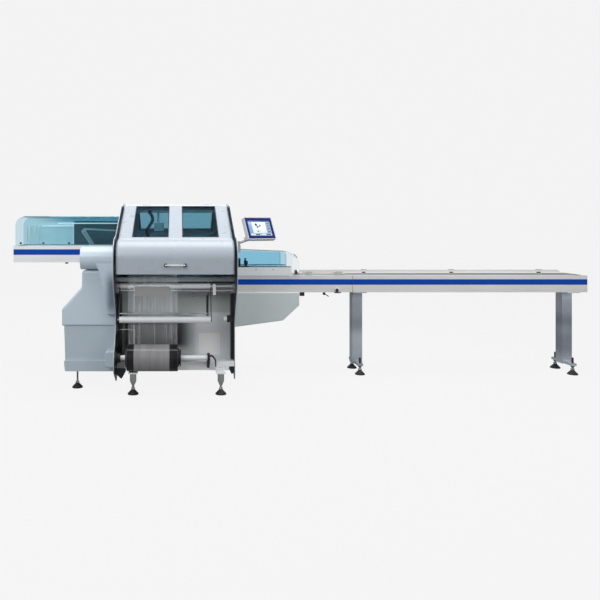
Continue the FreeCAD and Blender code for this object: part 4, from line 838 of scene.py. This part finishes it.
hood_low, hood_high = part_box("hood_shell")
screw_inset, screw_rows = 0.057, (-0.405, -0.365)
hood_screws = [(on_slope(x, y), slope_normal) for x in (hood_low[0] + screw_inset, hood_high[0] - screw_inset)
               for y in screw_rows]
screws("hood_screws", "hood", hood_screws, radius=0.006)
print(len(hood_screws), "hood screws")


# %% Roses of the hood's handle
rose_radius, rose_depth, rose_inset = 0.015, 0.010, 0.011

handle_low, handle_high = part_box("hood_handle")
handle_height = (handle_low[2] + handle_high[2]) / 2


def handle_rose(x):
    """A stepped round plate, turned to face the operator."""
    rose = start(bpy.ops.mesh.primitive_cylinder_add, vertices=32, radius=rose_radius, depth=rose_depth,
                 location=(x, hood_low[1] - 0.001, handle_height), rotation=(math.radians(90), 0, 0))
    bpy.ops.object.transform_apply(location=True, rotation=True, scale=True)
    bpy.ops.object.mode_set(mode="EDIT")
    select_faces(rose, lambda centre, normal: normal.y < -0.9)
    bpy.ops.mesh.inset(thickness=0.004, depth=0.003)
    bpy.ops.object.mode_set(mode="OBJECT")
    round_edges(rose, 0.001)
    return rose


handle_ends = (handle_low[0] + rose_inset, handle_high[0] - rose_inset)
complete(merge([handle_rose(x) for x in handle_ends]), "handle_roses", "hood", "black_plastic")
print("roses at", [round(x, 3) for x in handle_ends])

# %% [markdown]
# Sheet covers are fastened along their edges. Rows of screws are worked out from the box of the part they
# hold: the sill, the service panels at the back, the covers at the left, and the side plates under the
# infeed guard. Each part's screws are one joined mesh.

# %% Rows of screws
def row(start, end, count):
    """Evenly spaced points from start to end, both included."""
    start, end = Vector(start), Vector(end)
    return [start.lerp(end, i / (count - 1)) for i in range(count)]


front, back, across_line = Vector((0, -1, 0)), Vector((0, 1, 0)), Vector((1, 0, 0))
wall_low, wall_high = left_wall_high[0], right_wall_low[0]
sill_front, sill_z, toe_z = -0.488, 0.224, (0.190, 0.196)
sill_rows = row((wall_high - 0.120, sill_front, toe_z[0]), (wall_high - 0.075, sill_front, toe_z[1]), 3)
sill_rows += row((wall_low + 0.520, sill_front, sill_z), (wall_high - 0.030, sill_front, sill_z), 3)
screws("sill_screws", "machine", [(p, front) for p in sill_rows], radius=0.004)

rear_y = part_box("rear_enclosure")[1][1]
panel_bottom, panel_top, panel_inset = 0.205, 1.150, 0.03
middle_x = (wall_low + wall_high) / 2
rear_places = []
for x in (wall_low + panel_inset, middle_x - panel_inset, middle_x + panel_inset, wall_high - panel_inset):
    rear_places += [(p, back) for p in row((x, rear_y, panel_bottom), (x, rear_y, panel_top), 5)]
screws("service_panel_screws", "machine", rear_places, radius=0.006)
print(len(sill_rows), "sill screws and", len(rear_places), "at the back")


# %% Screws of the covers and the guard's side plates
upper_low, upper_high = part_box("upper_left_cover")
cover_left, cover_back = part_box("lower_left_cover")[0][0] + 0.06, upper_high[1]
back_z, side_z, side_rows = 0.56, 0.60, (-0.36, 0.56)
back_row = row((cover_left, cover_back, back_z), (wall_low - 0.05, cover_back, back_z), 3)
side_row = row((upper_low[0], side_rows[0], side_z), (upper_low[0], side_rows[1], side_z), 3)
cover_places = [(p, back) for p in back_row] + [(p, -across_line) for p in side_row]
screws("cover_screws", "machine", cover_places, radius=0.006)

rail_low, rail_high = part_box("infeed_guard_rails")
guard_screw_z = 0.955
guard_places = []
for y, direction in ((rail_low[1], front), (rail_high[1], back)):
    guard_row = row((rail_low[0] + 0.235, y, guard_screw_z), (rail_high[0] - 0.02, y, guard_screw_z), 3)
    guard_places += [(p, direction) for p in guard_row]
screws("guard_rail_screws", "machine", guard_places, radius=0.004, slot="black_plastic")
print(len(cover_places), "cover screws and", len(guard_places), "guard screws")

# %% [markdown]
# Four flange bearings carry the upper roller and the dancer, two on each wall. Each has a rounded sealing
# ring on its face, round the shaft but clear of it. A torus is the very form of such a ring. The two
# bearings of the upper roller also show three of their fixing screws.

# %% Sealing rings of the bearings
bearing_depth = 0.016
upper_axis, dancer_axis = (-0.500, 0.857), (-0.470, 0.820)
ring_radius, ring_thickness = 0.0170, 0.0030


def bearing_boss(x, y, z):
    """A rounded ring on the face of a bearing, with the shaft running free through its middle."""
    return start(bpy.ops.mesh.primitive_torus_add, major_radius=ring_radius, minor_radius=ring_thickness,
                 major_segments=32, minor_segments=8, location=(x, y, z), rotation=(0, math.radians(90), 0))


bearing_faces = ((wall_low + bearing_depth, 1), (wall_high - bearing_depth, -1))
bosses = [bearing_boss(face_x + direction * ring_thickness / 2, y, z) for face_x, direction in bearing_faces
          for y, z in (upper_axis, dancer_axis)]
complete(merge(bosses), "bearing_bosses", "machine", "steel")
screw_offset = 0.017
bearing_screws = [((face_x, upper_axis[0] + dy, upper_axis[1] + dz), direction * across_line)
                  for face_x, direction in bearing_faces
                  for dy, dz in ((-screw_offset, screw_offset), (screw_offset, screw_offset),
                                 (-screw_offset, -screw_offset))]
screws("bearing_screws", "machine", bearing_screws, radius=0.003, slot="black_plastic")
print(len(bosses), "sealing rings and", len(bearing_screws), "bearing screws")

# %% [markdown]
# The feet are screw jacks. Their spindles are turned with a thread, and each carries a lock nut on the pad.
# The thread is a stack of fine rings, one torus copied upwards along the spindle, which at this size can't
# be told from a helix and has far fewer faces. The nut is a cylinder with six sides and bevelled corners.
# Where the feet stand is read from the pads: the points of their tops are gathered into one middle for each
# pad.

# %% Middles of the foot pads
pad_points = [v.co for v in nodes["foot_pads"].data.vertices]
pad_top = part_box("foot_pads")[1][2]
top_points = [p.xy for p in pad_points if p.z > pad_top - 0.0005]
same_pad, other_pad = 0.04, 0.08
pad_centres = []
for point in top_points:
    if all((point - centre).length > other_pad for centre in pad_centres):
        near = [p for p in top_points if (p - point).length < same_pad]
        xs, ys = [p.x for p in near], [p.y for p in near]
        pad_centres.append(Vector(((min(xs) + max(xs)) / 2, (min(ys) + max(ys)) / 2)))
print(len(pad_centres), "pads, tops at z", round(pad_top, 3))


# %% Threads and lock nuts of the feet
thread_pitch, thread_start, thread_depth = 0.0035, 0.016, 0.0011
nut_radius, nut_height = 0.017, 0.012
bare_foot_x = wall_low - 0.337
spindle_radius, bare_spindle_radius = 0.0092, 0.0072


def foot_thread(x, y, radius, count):
    """A stack of rings round one spindle."""
    ring = start(bpy.ops.mesh.primitive_torus_add, major_radius=radius, minor_radius=thread_depth,
                 major_segments=20, minor_segments=5)
    heights = [pad_top + thread_start + i * thread_pitch for i in range(count)]
    return copies_at(ring, [((x, y, z), (0, 0, 1)) for z in heights])


def lock_nut(x, y):
    """A hexagon nut that stands on its pad."""
    nut = start(bpy.ops.mesh.primitive_cylinder_add, vertices=6, radius=nut_radius, depth=nut_height,
                location=(x, y, pad_top + nut_height / 2 + 0.0005))
    round_edges(nut, 0.0015)
    return nut


thread_rings, nuts = [], []
for centre in pad_centres:
    bare = abs(centre.x - bare_foot_x) < 0.02
    under_machine = centre.x < wall_high and not bare
    radius = bare_spindle_radius if bare else spindle_radius
    thread_rings += foot_thread(centre.x, centre.y, radius, 5 if under_machine else 6)
    nuts.append(lock_nut(centre.x, centre.y))
complete(merge(thread_rings), "foot_threads", "machine", "steel")
complete(merge(nuts), "foot_lock_nuts", "machine", "steel", smooth=20)
print(len(nuts), "feet with threads and nuts")

# %% [markdown]
# Inside the film bay there are small fittings: a white threading plate beside the dancer, a film sensor on
# a bent bracket at the left, and a bare pale plate on the lower panel. They are flat sheet and small
# housings, so rounded blocks are enough. Each starts on the wall or panel that carries it.

# %% Fittings in the film bay
lower_sheet_y, upper_sheet_y, right_sheet_y = -0.300, -0.286, -0.304
blocks("threading_plate", "sill_grey",
       ((-0.826, -0.538, 0.788), (-0.801, -0.532, 0.878), 0.002),
       ((-0.822, -0.534, 0.788), (-0.805, -0.3125, 0.791), 0.001), finish=white_plastic)
plate_white = enamel("plate_white", (0.86, 0.86, 0.85), roughness=0.5)
blocks("bare_plate", "sill_grey",
       ((-0.931, lower_sheet_y - 0.0012, 0.262), (-0.752, lower_sheet_y, 0.440), 0.0005), finish=plate_white)
bracket_bottom, bracket_top = 0.489, 0.494
blocks("film_sensor", "black_plastic",
       ((-1.520, -0.440, bracket_top), (-1.476, -0.405, 0.523), 0.002),
       ((-1.532, -0.428, 0.500), (-1.519, -0.416, 0.516), 0.002))
blocks("film_sensor_bracket", "steel",
       ((wall_low, -0.438, bracket_bottom), (-1.474, -0.408, bracket_top), 0.001),
       ((wall_low, -0.445, 0.470), (wall_low + 0.003, -0.400, 0.530), 0.001),
       ((-1.556, -0.438, 0.492), (-1.552, -0.408, 0.524), 0.001))
print("threading plate, bare plate and film sensor placed")


# %% Painted highlight on the guide and folds of the panels
painted_highlight_bottom, painted_highlight_height, guide_y = 0.893, 0.006, -0.478
# Painted highlight: a white strip on the lip of the guide, where light catches its edge.
blocks("guide_painted_highlight", "steel",
       ((wall_low + 0.020, guide_y - 0.0014, painted_highlight_bottom),
        (wall_high - 0.175, guide_y, painted_highlight_bottom + painted_highlight_height), 0.0004),
       finish=white_plastic)
fold_z, fold_width, fold_depth, split_x = 0.761, 0.002, 0.0006, -0.856
blocks("panel_folds", "bay_grey",
       ((roll_high[0] - 0.010, upper_sheet_y - fold_depth, fold_z),
        (split_x - 0.002, upper_sheet_y, fold_z + fold_width), 0.0002),
       ((split_x + 0.010, right_sheet_y - fold_depth, fold_z),
        (wall_high - 0.030, right_sheet_y, fold_z + fold_width), 0.0002),
       finish=enamel("fold_grey", (0.20, 0.21, 0.22)))
fold_screws = [((-0.978, upper_sheet_y, fold_z + dz), front) for dz in (0.013, -0.013)]
screws("panel_screws", "machine", fold_screws, radius=0.004, slot="black_plastic")
blocks("panel_slot_edge", "black_plastic",
       ((split_x - 0.012, upper_sheet_y - 0.0030, 0.585),
        (split_x - 0.001, upper_sheet_y, fold_z - 0.004), 0.001))
print("folds at z", fold_z)

# %% [markdown]
# The wound film shows its layers at both ends of the roll, and its paper core stands out a little. Each end
# is a flat disc with many fine rings: a circle that is inset again and again, each ring a fraction deeper
# or higher than the last, so that the light catches the edges of the layers.

# %% Ends of the film roll
roll_axis = [(roll_low[i] + roll_high[i]) / 2 for i in (1, 2)]
roll_radius = (roll_high[2] - roll_low[2]) / 2
layer_count, layer_step, end_thickness = 12, 0.0009, 0.0012


def roll_end(x, direction):
    """A thin ringed disc on one end of the roll, open in the middle for the core."""
    disc = start(bpy.ops.mesh.primitive_circle_add, vertices=64, radius=roll_radius - end_thickness,
                 fill_type="NGON")
    bpy.ops.object.mode_set(mode="EDIT")
    select_faces(disc, lambda centre, normal: True)
    for i in range(layer_count):
        bpy.ops.mesh.inset(thickness=0.0022 + 0.0006 * (i % 3), depth=layer_step if i % 2 else -layer_step)
    bpy.ops.mesh.inset(thickness=0.0005)
    bpy.ops.mesh.delete(type="FACE")
    bpy.ops.object.mode_set(mode="OBJECT")
    turn = Vector((direction, 0, 0)).to_track_quat("Z", "Y").to_matrix().to_4x4()
    disc.matrix_world = Matrix.Translation((x + direction * end_thickness, *roll_axis)) @ turn
    wall = disc.modifiers.new("wall", "SOLIDIFY")
    wall.thickness = end_thickness
    bpy.ops.object.modifier_apply(modifier=wall.name)
    return disc


roll_edge = plastic("roll_edge", (0.16, 0.16, 0.17), roughness=0.25, grain=0.1)
ends = [roll_end(roll_low[0], -1), roll_end(roll_high[0], 1)]
complete(merge(ends), "roll_ends", "film_reel", "film", roll_edge, smooth=15)
print("roll ends at", round(roll_low[0], 3), round(roll_high[0], 3))

# %% [markdown]
# The long belt is welded at one place, where a straight seam crosses it, and the long rail is joined from
# two lengths. Behind the outfeed guard, glowing strips on the liner and the heater are painted highlights,
# and a black seal runs along the guard's rear edge. They are thin strips, placed from the boxes of the parts
# they lie on.

# %% Belt seam, rail joint, painted highlight strips and seal of the outfeed
belt_low, belt_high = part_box("infeed_belt")
seam_left, seam_width = 1.05, 0.008
blocks("belt_seam", "belt",
       ((seam_left, belt_low[1] + 0.004, belt_high[2] - 0.0002),
        (seam_left + seam_width, belt_high[1] - 0.004, belt_high[2] + 0.0006), 0.0002),
       finish=plastic("seam_grey", (0.36, 0.38, 0.38)))
frame_low, frame_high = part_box("infeed_frame")
joint_x, joint_width = 0.469, 0.0022
blocks("rail_joint", "black_plastic",
       ((joint_x, frame_low[1] - 0.0006, frame_low[2] + 0.002),
        (joint_x + joint_width, frame_low[1], frame_high[2] - 0.002), 0.0002))

liner_low, liner_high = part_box("outlet_liner")
heater_low, heater_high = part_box("heater_housing")
# Painted highlights: glowing strips where light catches the edges of the liner and the heater.
blocks("outfeed_painted_highlights", "liner",
       ((liner_low[0] + 0.145, liner_high[1] - 0.010, liner_high[2] - 0.002),
        (heater_low[0] - 0.002, liner_high[1] - 0.001, liner_high[2] + 0.007), 0.001),
       ((heater_low[0] - 0.150, heater_low[1] - 0.006, liner_high[2] + 0.024),
        (heater_high[0], heater_low[1], liner_high[2] + 0.034), 0.001),
       ((heater_low[0] - 0.006, heater_low[1] - 0.002, liner_low[2] + 0.006),
        (heater_low[0] - 0.001, heater_low[1] + 0.002, heater_high[2] - 0.030), 0.001),
       finish=glowing("painted_highlight_edge", (0.86, 0.92, 0.95), 0.45))
arm_guard_low, arm_guard_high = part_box("outfeed_cover")
blocks("outfeed_edge_seal", "black_plastic",
       ((arm_guard_low[0] + 0.12, arm_guard_high[1] - 0.016, arm_guard_high[2] - 0.0085),
        (wall_low - 0.020, arm_guard_high[1] - 0.008, arm_guard_high[2] - 0.0055), 0.001))
print("outfeed guard top", round(arm_guard_high[2], 3), "rear", round(arm_guard_high[1], 3))

# %% [markdown]
# The infeed guard stands on its two side plates. A black seal runs along its foot on each side, a thin
# black seam shows where the clear end begins, and at the front it is held by a pale clamp and a latch with
# a knob. Two tray sensors sit on a foot that reaches inwards from the front plate. All are rounded blocks
# again.

# %% Seals, seams and sensors of the infeed guard
guard_low, guard_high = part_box("infeed_cover")
guard_foot, seam_top, seam_half, seam_depth = rail_high[2], 1.092, 0.0015, 0.0008
front_seal, rear_seal, seal_width = guard_low[1] + 0.0055, guard_high[1] - 0.0085, 0.003
blocks("infeed_seals", "black_plastic",
       *[((guard_low[0] + 0.004, y, guard_foot + 0.0005),
          (rail_high[0] - 0.01, y + seal_width, guard_foot + 0.007), 0.0005)
         for y in (front_seal, rear_seal)])
clear_end = guard_high[0] - guard_end_length
blocks("guard_seams", "black_plastic",
       *[((clear_end - seam_half, y, guard_foot + 0.002),
          (clear_end + seam_half, y + seam_depth, seam_top), 0.0003)
         for y in (guard_low[1] - seam_depth, guard_high[1])])
sensor_x = wall_high + 0.087
blocks("infeed_sensors", "black_plastic",
       ((sensor_x, 0.085, 0.985), (sensor_x + 0.022, 0.110, 1.054), 0.003),
       ((sensor_x + 0.054, 0.088, 1.000), (sensor_x + 0.090, 0.112, 1.030), 0.005),
       ((sensor_x + 0.058, 0.092, 1.022), (sensor_x + 0.074, 0.108, 1.056), 0.004),
       ((sensor_x - 0.004, rail_low[1] + 0.002, guard_foot),
        (sensor_x + 0.098, 0.112, guard_foot + 0.010), 0.002),
       ((sensor_x + 0.062, 0.096, 0.984), (sensor_x + 0.080, 0.104, 1.004), 0.002))
print("clear end from x", round(clear_end, 3), "sensors from x", round(sensor_x, 3))


# %% Clamp and latch of the infeed guard
blocks("guard_clamp", "sill_grey",
       ((rail_high[0] - 0.021, rail_low[1] - 0.0035, rail_low[2] + 0.012),
        (rail_high[0] - 0.002, rail_low[1], rail_high[2] - 0.008), 0.001), finish=white_plastic)
latch_thickness = 0.003
blocks("guard_latch_plate", "steel",
       ((guard_high[0] - 0.045, guard_low[1] - latch_thickness, frame_high[2] + 0.001),
        (guard_high[0] - 0.004, guard_low[1], 0.955), 0.001))
blocks("guard_latch_knob", "black_plastic",
       ((guard_high[0] - 0.036, guard_low[1] - latch_thickness - 0.006, 0.915),
        (guard_high[0] - 0.018, guard_low[1] - latch_thickness, 0.945), 0.002))
print("guard clamp and latch placed")
